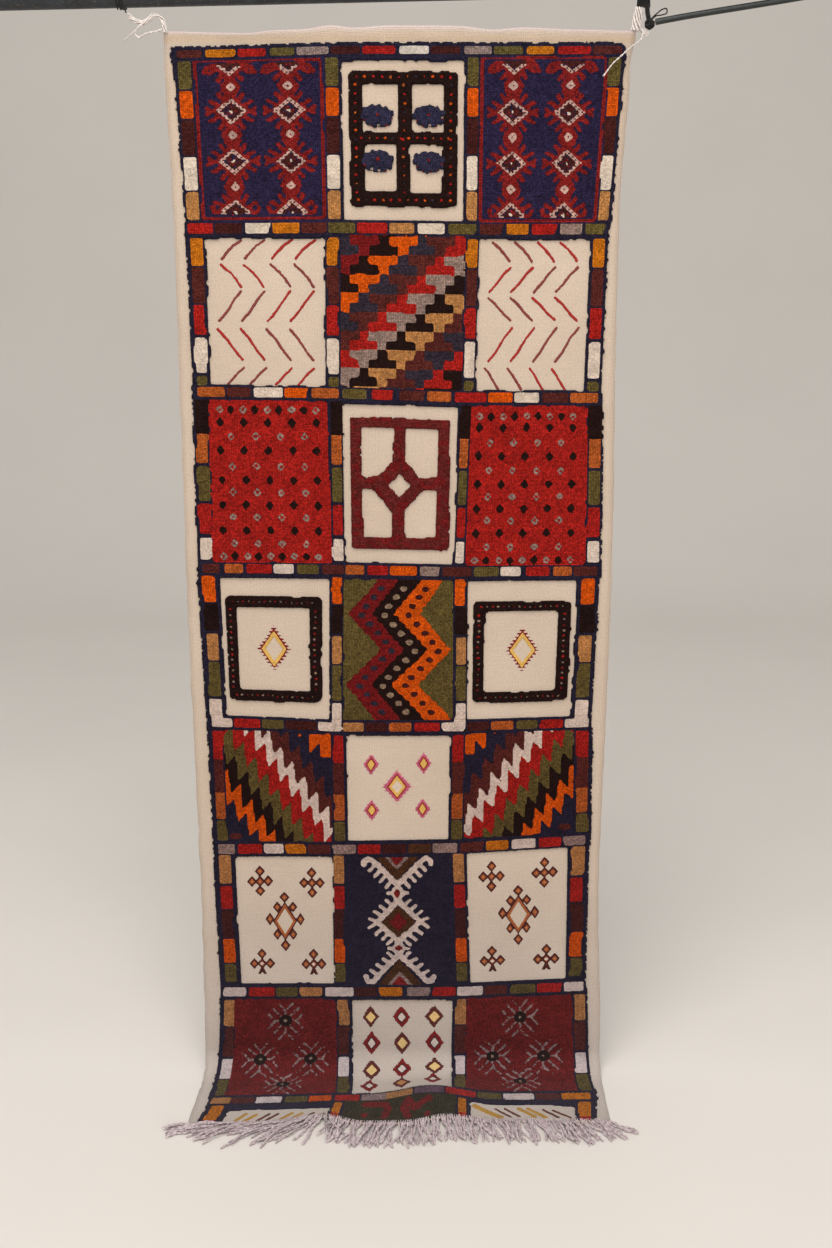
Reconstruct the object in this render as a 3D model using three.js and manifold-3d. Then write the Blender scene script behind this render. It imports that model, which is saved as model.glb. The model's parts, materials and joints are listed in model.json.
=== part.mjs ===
// A knotted and flat-woven rug, tied by its two top corners under a round pole,
// with its lower end turned forward on the ground and a tasselled fringe lying in front of it.
//
// Millimetres. +X runs to the viewer's right, +Y away from the viewer, +Z up.
// Heights are written above the ground, and the whole group is then lowered,
// so that the origin is the point of the pole's axis above the middle of the rug.
import * as THREE from 'three';
import { mergeVertices } from 'three/addons/utils/BufferGeometryUtils.js';
import Module from 'manifold-3d';

const wasm = await Module();
wasm.setup();

// Driving dimensions
const seatGap = 0.3;
const pole = { height: 2185, diameter: 33.7, length: 1580, slopeDegrees: 1.2, chamfer: 1.5, sides: 40 };
const cloth = { top: 2118, length: 2290, bendRadius: 58, ground: 3.2, pile: 8 };
const band = { halfHeight: 16, halfWidth: 18, stepHalf: 1.5 };
const fringe = { stripWidth: 6, strandWidth: 4.6, strandHeight: 3.2, count: 76, sideMargin: 5 };

// Selvedges, measured down the cloth
const edges = [
  { down: 0, left: -433, right: 430 },
  { down: 60, left: -433, right: 421 },
  { down: 330, left: -428, right: 411 },
  { down: 1060, left: -432, right: 420 },
  { down: 1650, left: -428, right: 416 },
  { down: 2060, left: -433, right: 432 },
  { down: 2290, left: -439, right: 430 },
];

// The pile lattice: the height of each cross band, and where the four long bands cross it
const lattice = [
  { down: 34, first: -395, second: -127, third: 133, fourth: 388 },
  { down: 345, first: -388, second: -126, third: 133, fourth: 375 },
  { down: 654, first: -385, second: -131, third: 127, fourth: 372 },
  { down: 998, first: -388, second: -129, third: 116, fourth: 377 },
  { down: 1320, first: -381, second: -135, third: 117, fourth: 370 },
  { down: 1586, first: -378, second: -133, third: 115, fourth: 374 },
  { down: 1920, first: -374, second: -134, third: 128, fourth: 378 },
  { down: 2206, first: -390, second: -130, third: 124, fourth: 389 },
];
const longBands = ['first', 'second', 'third', 'fourth'];

// How far the top edge dips (+) or rises (-), and how far the lower edge reaches past the cloth's length
const topEdge = [
  { across: -433, dip: 4 },
  { across: -270, dip: 4 },
  { across: -128, dip: -7 },
  { across: 90, dip: -8 },
  { across: 250, dip: -4 },
  { across: 430, dip: 0 },
];
const lowerEdge = [
  { across: -439, reach: 6 },
  { across: -300, reach: 0 },
  { across: -170, reach: -17 },
  { across: -80, reach: 1 },
  { across: 10, reach: 1 },
  { across: 100, reach: -15 },
  { across: 200, reach: -9 },
  { across: 430, reach: -7 },
];

// Soft folds of the hanging part, out towards the viewer (+) or back (-), and the hump in the turned end
const folds = [
  { across: 20, down: 0, wide: 190, long: 420, out: 9 },
  { across: -330, down: 260, wide: 90, long: 420, out: -4 },
  { across: 260, down: 520, wide: 110, long: 480, out: -5 },
  { across: -150, down: 980, wide: 150, long: 380, out: -4 },
  { across: 190, down: 1330, wide: 150, long: 420, out: 5 },
  { across: -400, down: 1500, wide: 70, long: 380, out: 6 },
  { across: 400, down: 1150, wide: 80, long: 420, out: 4 },
  { across: -60, down: 1620, wide: 120, long: 300, out: 4 },
];
const humps = [
  { across: 62, down: 2204, wide: 58, long: 46, high: 21 },
  { across: -150, down: 2262, wide: 40, long: 30, high: 6 },
];

// Tassel length and the way it is combed, from the left selvedge to the right one
const combing = [
  { across: -439, swing: -62, long: 60 },
  { across: -400, swing: -54, long: 92 },
  { across: -180, swing: -46, long: 94 },
  { across: -140, swing: -8, long: 70 },
  { across: 0, swing: 4, long: 64 },
  { across: 240, swing: 10, long: 62 },
  { across: 370, swing: 24, long: 66 },
  { across: 430, swing: 56, long: 56 },
];

// Reads one column of a table at a place along another, with rounded passages between the rows
function readTable(table, key, place, value) {
  if (place <= table[0][key]) return table[0][value];
  const last = table[table.length - 1];
  if (place >= last[key]) return last[value];
  const upper = table.findIndex((row) => row[key] > place);
  const from = table[upper - 1];
  const to = table[upper];
  const share = (place - from[key]) / (to[key] - from[key]);
  return THREE.MathUtils.lerp(from[value], to[value], THREE.MathUtils.smoothstep(share, 0, 1));
}

function bump(offset, width) {
  return Math.exp(-0.5 * (offset / width) ** 2);
}

// Cloth surface
const hangLength = cloth.top - cloth.bendRadius;
const bendLength = (Math.PI / 2) * cloth.bendRadius;

// The back face of the cloth in the YZ plane, with its normal towards the face side
function profile(down) {
  if (down <= hangLength) return { y: 0, z: cloth.top - down, normalY: -1, normalZ: 0 };
  const angle = Math.min((down - hangLength) / cloth.bendRadius, Math.PI / 2);
  const flat = Math.max(down - hangLength - bendLength, 0);
  return {
    y: -cloth.bendRadius * (1 - Math.cos(angle)) - flat,
    z: cloth.bendRadius * (1 - Math.sin(angle)),
    normalY: -Math.cos(angle),
    normalZ: Math.sin(angle),
  };
}

function unevenness(across, down) {
  const fade = 1 - THREE.MathUtils.smoothstep(down, hangLength - 420, hangLength - 60);
  let out = 0;
  for (const fold of folds) {
    out += fade * fold.out * bump(across - fold.across, fold.wide) * bump(down - fold.down, fold.long);
  }
  for (const hump of humps) {
    out += hump.high * bump(across - hump.across, hump.wide) * bump(down - hump.down, hump.long);
  }
  return out;
}

// A point of the cloth, lifted off its back face towards the face side
function clothPoint(across, down, lift) {
  const at = profile(down);
  const out = lift + unevenness(across, down);
  return new THREE.Vector3(across, at.y + at.normalY * out, at.z + at.normalZ * out);
}

// Meshes
function fromTriangles(points, triangles) {
  const geometry = new THREE.BufferGeometry();
  const places = points.flatMap((point) => [point.x, point.y, point.z]);
  geometry.setAttribute('position', new THREE.Float32BufferAttribute(places, 3));
  geometry.setIndex(triangles.flat());
  return geometry;
}

// A closed sheet between two grids of points, rows running down and columns to the right
function closedSheet(front, back) {
  const rows = front.length;
  const columns = front[0].length;
  const points = [...front.flat(), ...back.flat()];
  const face = (row, column) => row * columns + column;
  const rear = (row, column) => rows * columns + face(row, column);
  const triangles = [];
  const quad = (a, b, c, d) => triangles.push([a, b, c], [a, c, d]);
  for (let row = 0; row < rows - 1; row += 1) {
    for (let column = 0; column < columns - 1; column += 1) {
      quad(face(row, column), face(row + 1, column), face(row + 1, column + 1), face(row, column + 1));
      quad(rear(row, column), rear(row, column + 1), rear(row + 1, column + 1), rear(row + 1, column));
    }
    const right = columns - 1;
    quad(face(row, 0), rear(row, 0), rear(row + 1, 0), face(row + 1, 0));
    quad(face(row, right), face(row + 1, right), rear(row + 1, right), rear(row, right));
  }
  const bottom = rows - 1;
  for (let column = 0; column < columns - 1; column += 1) {
    quad(face(0, column), face(0, column + 1), rear(0, column + 1), rear(0, column));
    quad(face(bottom, column), rear(bottom, column), rear(bottom, column + 1), face(bottom, column + 1));
  }
  return fromTriangles(points, triangles);
}

// A round or flat strand along a path: an extruded outline, with its own number of steps
function strand(path, outline, steps) {
  return new THREE.ExtrudeGeometry(outline, { steps, bevelEnabled: false, extrudePath: path });
}

function roundOutline(radius, sides) {
  const corners = [];
  for (let side = 0; side < sides; side += 1) {
    const angle = (side / sides) * Math.PI * 2;
    corners.push(new THREE.Vector2(radius * Math.cos(angle), radius * Math.sin(angle)));
  }
  return new THREE.Shape(corners);
}

function smoothPath(places) {
  return new THREE.CatmullRomCurve3(places.map((place) => new THREE.Vector3(...place)), false, 'centripetal');
}

function toSolid(geometry) {
  const bare = geometry.clone();
  bare.deleteAttribute('normal');
  bare.deleteAttribute('uv');
  const merged = mergeVertices(bare, 1e-4);
  return new wasm.Manifold(new wasm.Mesh({
    numProp: 3,
    vertProperties: new Float32Array(merged.attributes.position.array),
    triVerts: new Uint32Array(merged.index.array),
  }));
}

function fuse(geometries) {
  const solid = geometries.map(toSolid).reduce((whole, next) => whole.add(next));
  const mesh = solid.getMesh();
  const geometry = new THREE.BufferGeometry();
  geometry.setAttribute('position', new THREE.Float32BufferAttribute(mesh.vertProperties, 3));
  geometry.setIndex(Array.from(mesh.triVerts));
  return geometry;
}

function piece(name, geometry, color, roughness, metalness = 0) {
  geometry.computeVertexNormals();
  const mesh = new THREE.Mesh(geometry, new THREE.MeshStandardMaterial({ color, roughness, metalness }));
  mesh.name = name;
  return mesh;
}

// The rug: ground weave and knotted pile in one cloth, its panels in pile and flat weave by turns
function isPile(row, column) {
  return (row + column) % 2 === 0;
}

// How many parts each panel has down and across the cloth: many where the cloth bends at the ground
const panelParts = { down: [3, 3, 3, 3, 3, 3, 17, 4], across: [3, 5, 3] };

// Rows of the sheet. Each has its distance down the cloth and the lattice row it lies in,
// where a whole number is a cross band and a half is the row of panels below it.
function sheetRows() {
  const rows = [{ down: 0, level: -1 }];
  lattice.forEach((cross, index) => {
    const above = cross.down - band.halfHeight;
    const below = cross.down + band.halfHeight;
    rows.push({ down: above - band.stepHalf, level: index - 0.5 });
    rows.push({ down: above + band.stepHalf, level: index });
    rows.push({ down: below - band.stepHalf, level: index });
    rows.push({ down: below + band.stepHalf, level: index + 0.5 });
    const next = index + 1 < lattice.length ? lattice[index + 1].down - band.halfHeight : cloth.length;
    const panel = next - below;
    const parts = panelParts.down[index];
    for (let part = 1; part < parts; part += 1) {
      rows.push({ down: below + (panel * part) / parts, level: index + 0.5 });
    }
  });
  rows.push({ down: cloth.length, level: lattice.length - 0.5 });
  return rows;
}

// Columns of the sheet at one distance down: across is the place, and slot counts as the levels do,
// with whole numbers for the long bands and halves for the panels and side borders between them
function sheetColumns(down) {
  const columns = [{ across: readTable(edges, 'down', down, 'left'), slot: -1 }];
  longBands.forEach((name, index) => {
    const centre = readTable(lattice, 'down', down, name);
    const before = centre - band.halfWidth;
    const after = centre + band.halfWidth;
    columns.push({ across: before - band.stepHalf, slot: index - 0.5 });
    columns.push({ across: before + band.stepHalf, slot: index });
    columns.push({ across: after - band.stepHalf, slot: index });
    columns.push({ across: after + band.stepHalf, slot: index + 0.5 });
    if (index === longBands.length - 1) return;
    const next = readTable(lattice, 'down', down, longBands[index + 1]) - band.halfWidth;
    const parts = panelParts.across[index];
    for (let part = 1; part < parts; part += 1) {
      columns.push({ across: after + ((next - after) * part) / parts, slot: index + 0.5 });
    }
  });
  columns.push({ across: readTable(edges, 'down', down, 'right'), slot: longBands.length - 0.5 });
  return columns;
}

function isRaised(level, slot) {
  const onSheet = level >= 0 && slot >= 0 && slot <= longBands.length - 1;
  if (!onSheet) return false;
  if (Number.isInteger(level) || Number.isInteger(slot)) return true;
  return isPile(level - 0.5, slot - 0.5);
}

// The cloth's own unevenness of its top and lower edges, taken up over the nearest stretch
function unevenDown(across, down) {
  const topShare = 1 - THREE.MathUtils.smoothstep(down, 0, 14);
  const lowerShare = THREE.MathUtils.smoothstep(down, cloth.length - 60, cloth.length);
  const top = readTable(topEdge, 'across', across, 'dip');
  const lower = readTable(lowerEdge, 'across', across, 'reach');
  return down + top * topShare + lower * lowerShare;
}

function rugGeometry() {
  const front = [];
  const back = [];
  for (const row of sheetRows()) {
    const columns = sheetColumns(row.down);
    const height = (column) => (isRaised(row.level, column.slot) ? cloth.pile : cloth.ground);
    const at = (column, lift) => clothPoint(column.across, unevenDown(column.across, row.down), lift);
    front.push(columns.map((column) => at(column, height(column))));
    back.push(columns.map((column) => at(column, 0)));
  }
  return closedSheet(front, back);
}

// The fringe: a narrow strip just off the lower edge, with tassels lying level on the ground
const hemColumns = sheetColumns(cloth.length).map((column) => column.across);
const lowerLeft = hemColumns[0];
const lowerRight = hemColumns[hemColumns.length - 1];

// A line of points along the lower edge, off past it and lifted off the back face
function hemLine(past, lift) {
  return hemColumns.map((across) => clothPoint(across, unevenDown(across, cloth.length) + past, lift));
}

function stripGeometry() {
  const past = [seatGap, seatGap + fringe.stripWidth];
  return closedSheet(past.map((off) => hemLine(off, cloth.ground)), past.map((off) => hemLine(off, 0)));
}

const rootLine = hemLine(seatGap + fringe.stripWidth * 0.55, cloth.ground / 2);

function rootPoint(across) {
  const next = Math.max(rootLine.findIndex((point) => point.x > across), 1);
  const from = rootLine[next - 1];
  const to = rootLine[next];
  return from.clone().lerp(to, (across - from.x) / (to.x - from.x));
}

function tasselGeometry(index) {
  const inner = (lowerRight - lowerLeft) - 2 * fringe.sideMargin;
  const across = lowerLeft + fringe.sideMargin + (inner * index) / (fringe.count - 1);
  const jitter = 1.7 * Math.sin(index * 2.4);
  const swing = THREE.MathUtils.degToRad(readTable(combing, 'across', across, 'swing') + jitter);
  const long = readTable(combing, 'across', across, 'long') + 4 * Math.sin(index * 1.7);
  const start = rootPoint(across);
  const sections = [
    { along: 0, sink: 0, width: 1 },
    { along: 0.3, sink: 1, width: 1.05 },
    { along: 0.7, sink: 1, width: 1 },
    { along: 1, sink: 1, width: 0.7 },
  ];
  const corners = [];
  for (const section of sections) {
    const bend = swing + 0.12 * Math.sin(index * 0.9) * section.along;
    const distance = long * section.along;
    const x = start.x + Math.sin(bend) * distance;
    const y = start.y - Math.cos(bend) * distance;
    const z = THREE.MathUtils.lerp(start.z, fringe.strandHeight / 2, section.sink);
    const half = (fringe.strandWidth / 2) * section.width;
    const sideX = Math.cos(bend) * half;
    const sideY = Math.sin(bend) * half;
    const rise = fringe.strandHeight / 2;
    corners.push([
      new THREE.Vector3(x - sideX, y - sideY, z + rise),
      new THREE.Vector3(x + sideX, y + sideY, z + rise),
      new THREE.Vector3(x + sideX, y + sideY, z - rise),
      new THREE.Vector3(x - sideX, y - sideY, z - rise),
    ]);
  }
  const triangles = [[0, 1, 2], [0, 2, 3]];
  for (let section = 0; section < sections.length - 1; section += 1) {
    for (let side = 0; side < 4; side += 1) {
      const a = section * 4 + side;
      const b = section * 4 + ((side + 1) % 4);
      triangles.push([a, a + 4, b + 4], [a, b + 4, b]);
    }
  }
  const tip = (sections.length - 1) * 4;
  triangles.push([tip, tip + 2, tip + 1], [tip, tip + 3, tip + 2]);
  return fromTriangles(corners.flat(), triangles);
}

function fringeGeometry() {
  const tassels = Array.from({ length: fringe.count }, (_, index) => tasselGeometry(index));
  return fuse([stripGeometry(), ...tassels]);
}

// The pole, and what is wound on it, in the pole's own frame: its axis along X, its middle at the origin
const poleRadius = pole.diameter / 2;
const poleTilt = new THREE.Matrix4().makeTranslation(0, 0, pole.height)
  .multiply(new THREE.Matrix4().makeRotationY(-THREE.MathUtils.degToRad(pole.slopeDegrees)));

function poleGeometry() {
  const half = pole.length / 2;
  const outline = [
    new THREE.Vector2(0, -half),
    new THREE.Vector2(poleRadius - pole.chamfer, -half),
    new THREE.Vector2(poleRadius, -half + pole.chamfer),
    new THREE.Vector2(poleRadius, half - pole.chamfer),
    new THREE.Vector2(poleRadius - pole.chamfer, half),
    new THREE.Vector2(0, half),
  ];
  return new THREE.LatheGeometry(outline, pole.sides).rotateZ(-Math.PI / 2).applyMatrix4(poleTilt);
}

// A strand wound round the pole, starting under it and passing up the front.
// Its radius is widened so that the straight runs between its steps keep their gap.
function winding({ at, turns, pitch, thick, sides, stepsPerTurn }) {
  const radius = (poleRadius + seatGap + thick / 2) / Math.cos(Math.PI / stepsPerTurn);
  const places = [];
  const steps = Math.round(turns * stepsPerTurn);
  for (let step = 0; step <= steps; step += 1) {
    const angle = (step / stepsPerTurn) * Math.PI * 2;
    const along = at + (pitch * step) / stepsPerTurn;
    places.push([along, -radius * Math.sin(angle), -radius * Math.cos(angle)]);
  }
  return strand(smoothPath(places), roundOutline(thick / 2, sides), steps).applyMatrix4(poleTilt);
}

// The ties, as strands on routes whose places are x, y and height above the ground
function tieOf(strands) {
  return fuse(strands.map(({ route, thick, sides, steps }) => (
    strand(smoothPath(route), roundOutline(thick / 2, sides), steps)
  )));
}

// Left tie: white yarn from the corner, with a slack loop and a free end, held to the pole by black thread
const leftYarn = [
  {
    route: [
      [-429, -2, 2115], [-430, -2, 2128], [-436, -2.5, 2139], [-447, -3, 2144],
      [-458, -3, 2137], [-470, -3, 2132], [-484, -3, 2137], [-496, -3, 2146],
    ],
    thick: 6.8, sides: 8, steps: 18,
  },
  {
    route: [
      [-431, -2, 2122], [-444, -5, 2117], [-462, -6, 2113], [-478, -6, 2107],
      [-483, -6, 2113], [-476, -6, 2124], [-466, -4, 2132],
    ],
    thick: 3.4, sides: 6, steps: 14,
  },
  {
    route: [[-468, -4, 2132], [-478, -7, 2122], [-490, -8, 2111], [-503, -8, 2101]],
    thick: 2.8, sides: 6, steps: 6,
  },
];
const leftWrap = { at: -514, turns: 3, pitch: 4.6, thick: 3, sides: 6, stepsPerTurn: 14 };
const leftWrapTail = {
  route: [[-500.6, -0.2, 2156], [-500, -1.6, 2152.6], [-498, -2.6, 2149]],
  sides: 6,
  steps: 3,
};

function wrapLeftGeometry() {
  const { route, sides, steps } = leftWrapTail;
  const tail = strand(smoothPath(route), roundOutline(leftWrap.thick / 2, sides), steps);
  return fuse([winding(leftWrap), tail]);
}

// Right tie: a twisted column of white yarn, with a tuft under it and one long free end over the rug's face
const rightYarn = [
  {
    route: [[430, -2, 2118.6], [430.5, -2.5, 2130], [432, -3, 2144], [433, -3, 2157.4]],
    thick: 12.4, sides: 10, steps: 6,
  },
  {
    route: [[434, -3, 2124], [444, -4, 2116], [456, -5, 2113]],
    thick: 4, sides: 6, steps: 5,
  },
  {
    route: [
      [435, -6, 2124], [440, -11, 2116], [438, -13, 2103], [418, -20, 2087],
      [402, -20, 2073], [387, -20, 2060], [370, -19.5, 2038],
    ],
    thick: 3.2, sides: 6, steps: 20,
  },
];

// Black strap: a ring round the pole, its gathered end, a tongue beside the yarn, a knot and a small loop
const strap = { at: 441, width: 23, thick: 3.4, ringSides: 26 };
const strapGather = {
  high: { left: 430, right: 453, front: -5, back: 3, z: 2176 },
  low: { left: 429, right: 454, front: -6, back: 1, z: 2158.4 },
};
const strapTongue = {
  route: [[449, -3, 2162], [449.5, -3.5, 2150], [452, -4, 2140], [455, -4, 2132]],
  thick: 8.4, sides: 8, steps: 6,
};
const strapKnot = { x: 455, y: -4, z: 2131, wide: 17, deep: 15, high: 19, sides: 12, rings: 8 };
const strapLoop = {
  route: [
    [455, -6, 2137], [464, -9, 2145], [475, -9, 2153], [482, -9, 2154],
    [483, -9, 2147], [474, -9, 2143.5], [464, -9, 2142], [456, -7, 2136],
  ],
  thick: 2.8, sides: 6, steps: 16,
};

function strapRingGeometry() {
  const inner = poleRadius + seatGap;
  const outer = inner + strap.thick;
  const half = strap.width / 2;
  return new THREE.LatheGeometry([
    new THREE.Vector2(inner, -half),
    new THREE.Vector2(outer, -half),
    new THREE.Vector2(outer, half),
    new THREE.Vector2(inner, half),
    new THREE.Vector2(inner, -half),
  ], strap.ringSides).rotateZ(-Math.PI / 2).translate(strap.at, 0, 0).applyMatrix4(poleTilt);
}

function strapGatherGeometry() {
  const line = (end, y) => [new THREE.Vector3(end.left, y, end.z), new THREE.Vector3(end.right, y, end.z)];
  const { high, low } = strapGather;
  const front = [line(high, high.front), line(low, low.front)];
  const back = [line(high, high.back), line(low, low.back)];
  return closedSheet(front, back);
}

function strapRightGeometry() {
  const knot = new THREE.SphereGeometry(1, strapKnot.sides, strapKnot.rings)
    .scale(strapKnot.wide / 2, strapKnot.deep / 2, strapKnot.high / 2)
    .translate(strapKnot.x, strapKnot.y, strapKnot.z);
  return fuse([strapRingGeometry(), strapGatherGeometry(), tieOf([strapTongue]), knot, tieOf([strapLoop])]);
}

// The side line: a taut black line from the strap's knot up to a hitch on the pole, past the right of the rug
const sideLine = {
  route: [
    [464.4, -4, 2133], [500, -3.8, 2139.4], [550, -3.4, 2147.6], [600, -2.8, 2155.2],
    [650, -2.2, 2162.8], [700, -1.2, 2170.6], [745.6, 0, 2178.2],
  ],
  thick: 11, sides: 12, steps: 12,
};
const lineHitch = { at: 752, turns: 1.6, pitch: 12.2, thick: sideLine.thick, sides: 10, stepsPerTurn: 16 };

const rug = new THREE.Group();
rug.add(piece('rug', rugGeometry(), 0x8a3a2c, 0.95));
rug.add(piece('fringe', fringeGeometry(), 0xcfc4bf, 0.95));

const hanging = new THREE.Group();
hanging.add(piece('pole', poleGeometry(), 0x23262a, 0.45, 0.4));
hanging.add(piece('wrap_left', wrapLeftGeometry(), 0x1b1a19, 0.9));
hanging.add(piece('tie_left', tieOf(leftYarn), 0xe6ddd6, 0.95));
hanging.add(piece('tie_right', tieOf(rightYarn), 0xe6ddd6, 0.95));
hanging.add(piece('strap_right', strapRightGeometry(), 0x191818, 0.85));
hanging.add(piece('side_line', tieOf([sideLine]), 0x1c201f, 0.55));
hanging.add(piece('line_hitch', winding(lineHitch), 0x1c201f, 0.55));

const whole = new THREE.Group();
whole.add(rug, hanging);
whole.position.z = -pole.height;

export default whole;
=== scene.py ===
# A knotted and flat-woven rug, tied by its top corners under a pole, its fringed end turned forward on the
# ground.
# Sizes are written in millimetres and turned to metres where a mesh is made.
# The design is counted in knots: columns to the right and rows down the cloth.
import json
import math

import bpy
import numpy as np
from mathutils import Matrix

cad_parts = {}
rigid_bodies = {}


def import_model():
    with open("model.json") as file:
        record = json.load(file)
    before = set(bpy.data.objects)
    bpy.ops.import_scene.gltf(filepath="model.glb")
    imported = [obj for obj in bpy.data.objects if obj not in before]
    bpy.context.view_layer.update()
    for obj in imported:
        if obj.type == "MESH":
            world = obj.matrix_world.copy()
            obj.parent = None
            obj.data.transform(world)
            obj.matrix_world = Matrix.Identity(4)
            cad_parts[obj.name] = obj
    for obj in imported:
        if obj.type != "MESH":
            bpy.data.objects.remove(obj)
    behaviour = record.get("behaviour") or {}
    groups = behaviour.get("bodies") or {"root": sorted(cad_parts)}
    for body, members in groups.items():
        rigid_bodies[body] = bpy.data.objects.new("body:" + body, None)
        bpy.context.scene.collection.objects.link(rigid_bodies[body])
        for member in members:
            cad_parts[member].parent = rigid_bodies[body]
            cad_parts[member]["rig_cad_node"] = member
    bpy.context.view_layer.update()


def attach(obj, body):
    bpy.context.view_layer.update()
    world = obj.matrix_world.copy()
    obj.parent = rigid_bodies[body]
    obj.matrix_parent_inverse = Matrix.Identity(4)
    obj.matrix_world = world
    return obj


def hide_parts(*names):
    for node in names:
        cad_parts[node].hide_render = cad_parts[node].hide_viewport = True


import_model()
scene = bpy.context.scene
scene.view_settings.view_transform = "Standard"
poleHeight = 2185.0
poleSlope = math.radians(1.2)
poleRadius = 33.7 / 2
seatGap = 0.3


def smooth(value, low, high):
    share = np.clip((np.asarray(value, float) - low) / (high - low), 0, 1)
    return share * share * (3 - 2 * share)


# Reads one column of a table at many places, with rounded passages between its rows
def readTable(table, key, places, value):
    keys = np.array(table[key], float)
    values = np.array(table[value], float)
    places = np.clip(places, keys[0], keys[-1])
    at = np.clip(np.searchsorted(keys, places, side="right") - 1, 0, len(keys) - 2)
    share = smooth((places - keys[at]) / (keys[at + 1] - keys[at]), 0, 1)
    return values[at] + (values[at + 1] - values[at]) * share


# Reads a table with straight passages, running on past its ends
def readStraight(keys, places, values):
    keys = np.array(keys, float)
    values = np.array(values, float)
    at = np.clip(np.searchsorted(keys, places, side="right") - 1, 0, len(keys) - 2)
    share = (places - keys[at]) / (keys[at + 1] - keys[at])
    return values[at] + (values[at + 1] - values[at]) * share


# Smooth seeded noise on a grid, about from -1 to 1, whose bumps are cell cells wide
def softNoise(rows, columns, cell, seed):
    draw = np.random.default_rng(seed)
    coarse = draw.uniform(-1, 1, (int(rows / cell) + 3, int(columns / cell) + 3))
    y = np.arange(rows) / cell
    x = np.arange(columns) / cell
    y0 = y.astype(int)
    x0 = x.astype(int)
    fy = smooth(y - y0, 0, 1)[:, None]
    fx = smooth(x - x0, 0, 1)[None, :]
    a = coarse[np.ix_(y0, x0)]
    b = coarse[np.ix_(y0, x0 + 1)]
    c = coarse[np.ix_(y0 + 1, x0)]
    d = coarse[np.ix_(y0 + 1, x0 + 1)]
    return (a * (1 - fx) + b * fx) * (1 - fy) + (c * (1 - fx) + d * fx) * fy


def linearColour(code):
    parts = [int(code[i:i + 2], 16) / 255 for i in (1, 3, 5)]
    return [p / 12.92 if p <= 0.04045 else ((p + 0.055) / 1.055) ** 2.4 for p in parts]


# Camera
viewpoint = {"place": (0.0285, -2.3975, -0.635), "tiltDegrees": 12.7, "lens": 35.0, "sensor": 36.0}


def makeCamera():
    data = bpy.data.cameras.new("camera")
    data.lens = viewpoint["lens"]
    data.sensor_width = viewpoint["sensor"]
    data.clip_end = 60
    camera = bpy.data.objects.new("camera", data)
    camera.location = viewpoint["place"]
    camera.rotation_euler = (math.radians(90 - viewpoint["tiltDegrees"]), 0, 0)
    scene.collection.objects.link(camera)
    bpy.context.scene.camera = camera


makeCamera()
print("camera placed")


# Materials
def newMaterial(name):
    material = bpy.data.materials.new(name)
    material.use_nodes = True
    return material, material.node_tree, material.node_tree.nodes["Principled BSDF"]


def setInputs(node, values):
    for name, value in values.items():
        node.inputs[name].default_value = value


def noiseNode(tree, vector, scale, detail=3.0, roughness=0.6):
    noise = tree.nodes.new("ShaderNodeTexNoise")
    setInputs(noise, {"Scale": scale, "Detail": detail, "Roughness": roughness})
    tree.links.new(vector, noise.inputs["Vector"])
    return noise.outputs["Fac"]


def rampNode(tree, factor, stops):
    ramp = tree.nodes.new("ShaderNodeValToRGB")
    tree.links.new(factor, ramp.inputs["Fac"])
    elements = ramp.color_ramp.elements
    while len(elements) < len(stops):
        elements.new(0.5)
    for element, (position, colour) in zip(elements, stops):
        element.position = position
        element.color = (*colour, 1)
    return ramp.outputs["Color"]


def multiplyColours(tree, shade, *others):
    for other in others:
        mix = tree.nodes.new("ShaderNodeMix")
        mix.data_type = "RGBA"
        mix.blend_type = "MULTIPLY"
        mix.inputs["Factor"].default_value = 1.0
        tree.links.new(shade, mix.inputs["A"])
        tree.links.new(other, mix.inputs["B"])
        shade = mix.outputs["Result"]
    return shade


def bumpNode(tree, height, strength, distance, below=None):
    node = tree.nodes.new("ShaderNodeBump")
    setInputs(node, {"Strength": strength, "Distance": distance})
    tree.links.new(height, node.inputs["Height"])
    if below is not None:
        tree.links.new(below, node.inputs["Normal"])
    return node.outputs["Normal"]


def objectPlace(tree):
    return tree.nodes.new("ShaderNodeTexCoord").outputs["Object"]


# The piece's own colours, knot by knot
def dyeNode(tree):
    dye = tree.nodes.new("ShaderNodeAttribute")
    dye.attribute_name = "dye"
    return dye.outputs["Color"]


# Dyed wool with fine flecks and wide soft patches
def woolMaterial(name, fibreScale, fibreBump):
    material, tree, shader = newMaterial(name)
    place = objectPlace(tree)
    flecks = rampNode(tree, noiseNode(tree, place, fibreScale * 0.45),
                      [(0.3, (0.74, 0.74, 0.76)), (0.7, (1.2, 1.19, 1.17))])
    patches = rampNode(tree, noiseNode(tree, place, 26, 2.0),
                       [(0.3, (0.9, 0.9, 0.91)), (0.72, (1.08, 1.07, 1.06))])
    tree.links.new(multiplyColours(tree, dyeNode(tree), flecks, patches), shader.inputs["Base Color"])
    setInputs(shader, {"Roughness": 0.95, "Specular IOR Level": 0.06, "Sheen Weight": 0.06,
                       "Sheen Roughness": 0.5})
    fibres = noiseNode(tree, place, fibreScale, 4.0)
    tree.links.new(bumpNode(tree, fibres, fibreBump, 0.001), shader.inputs["Normal"])
    return material


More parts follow.
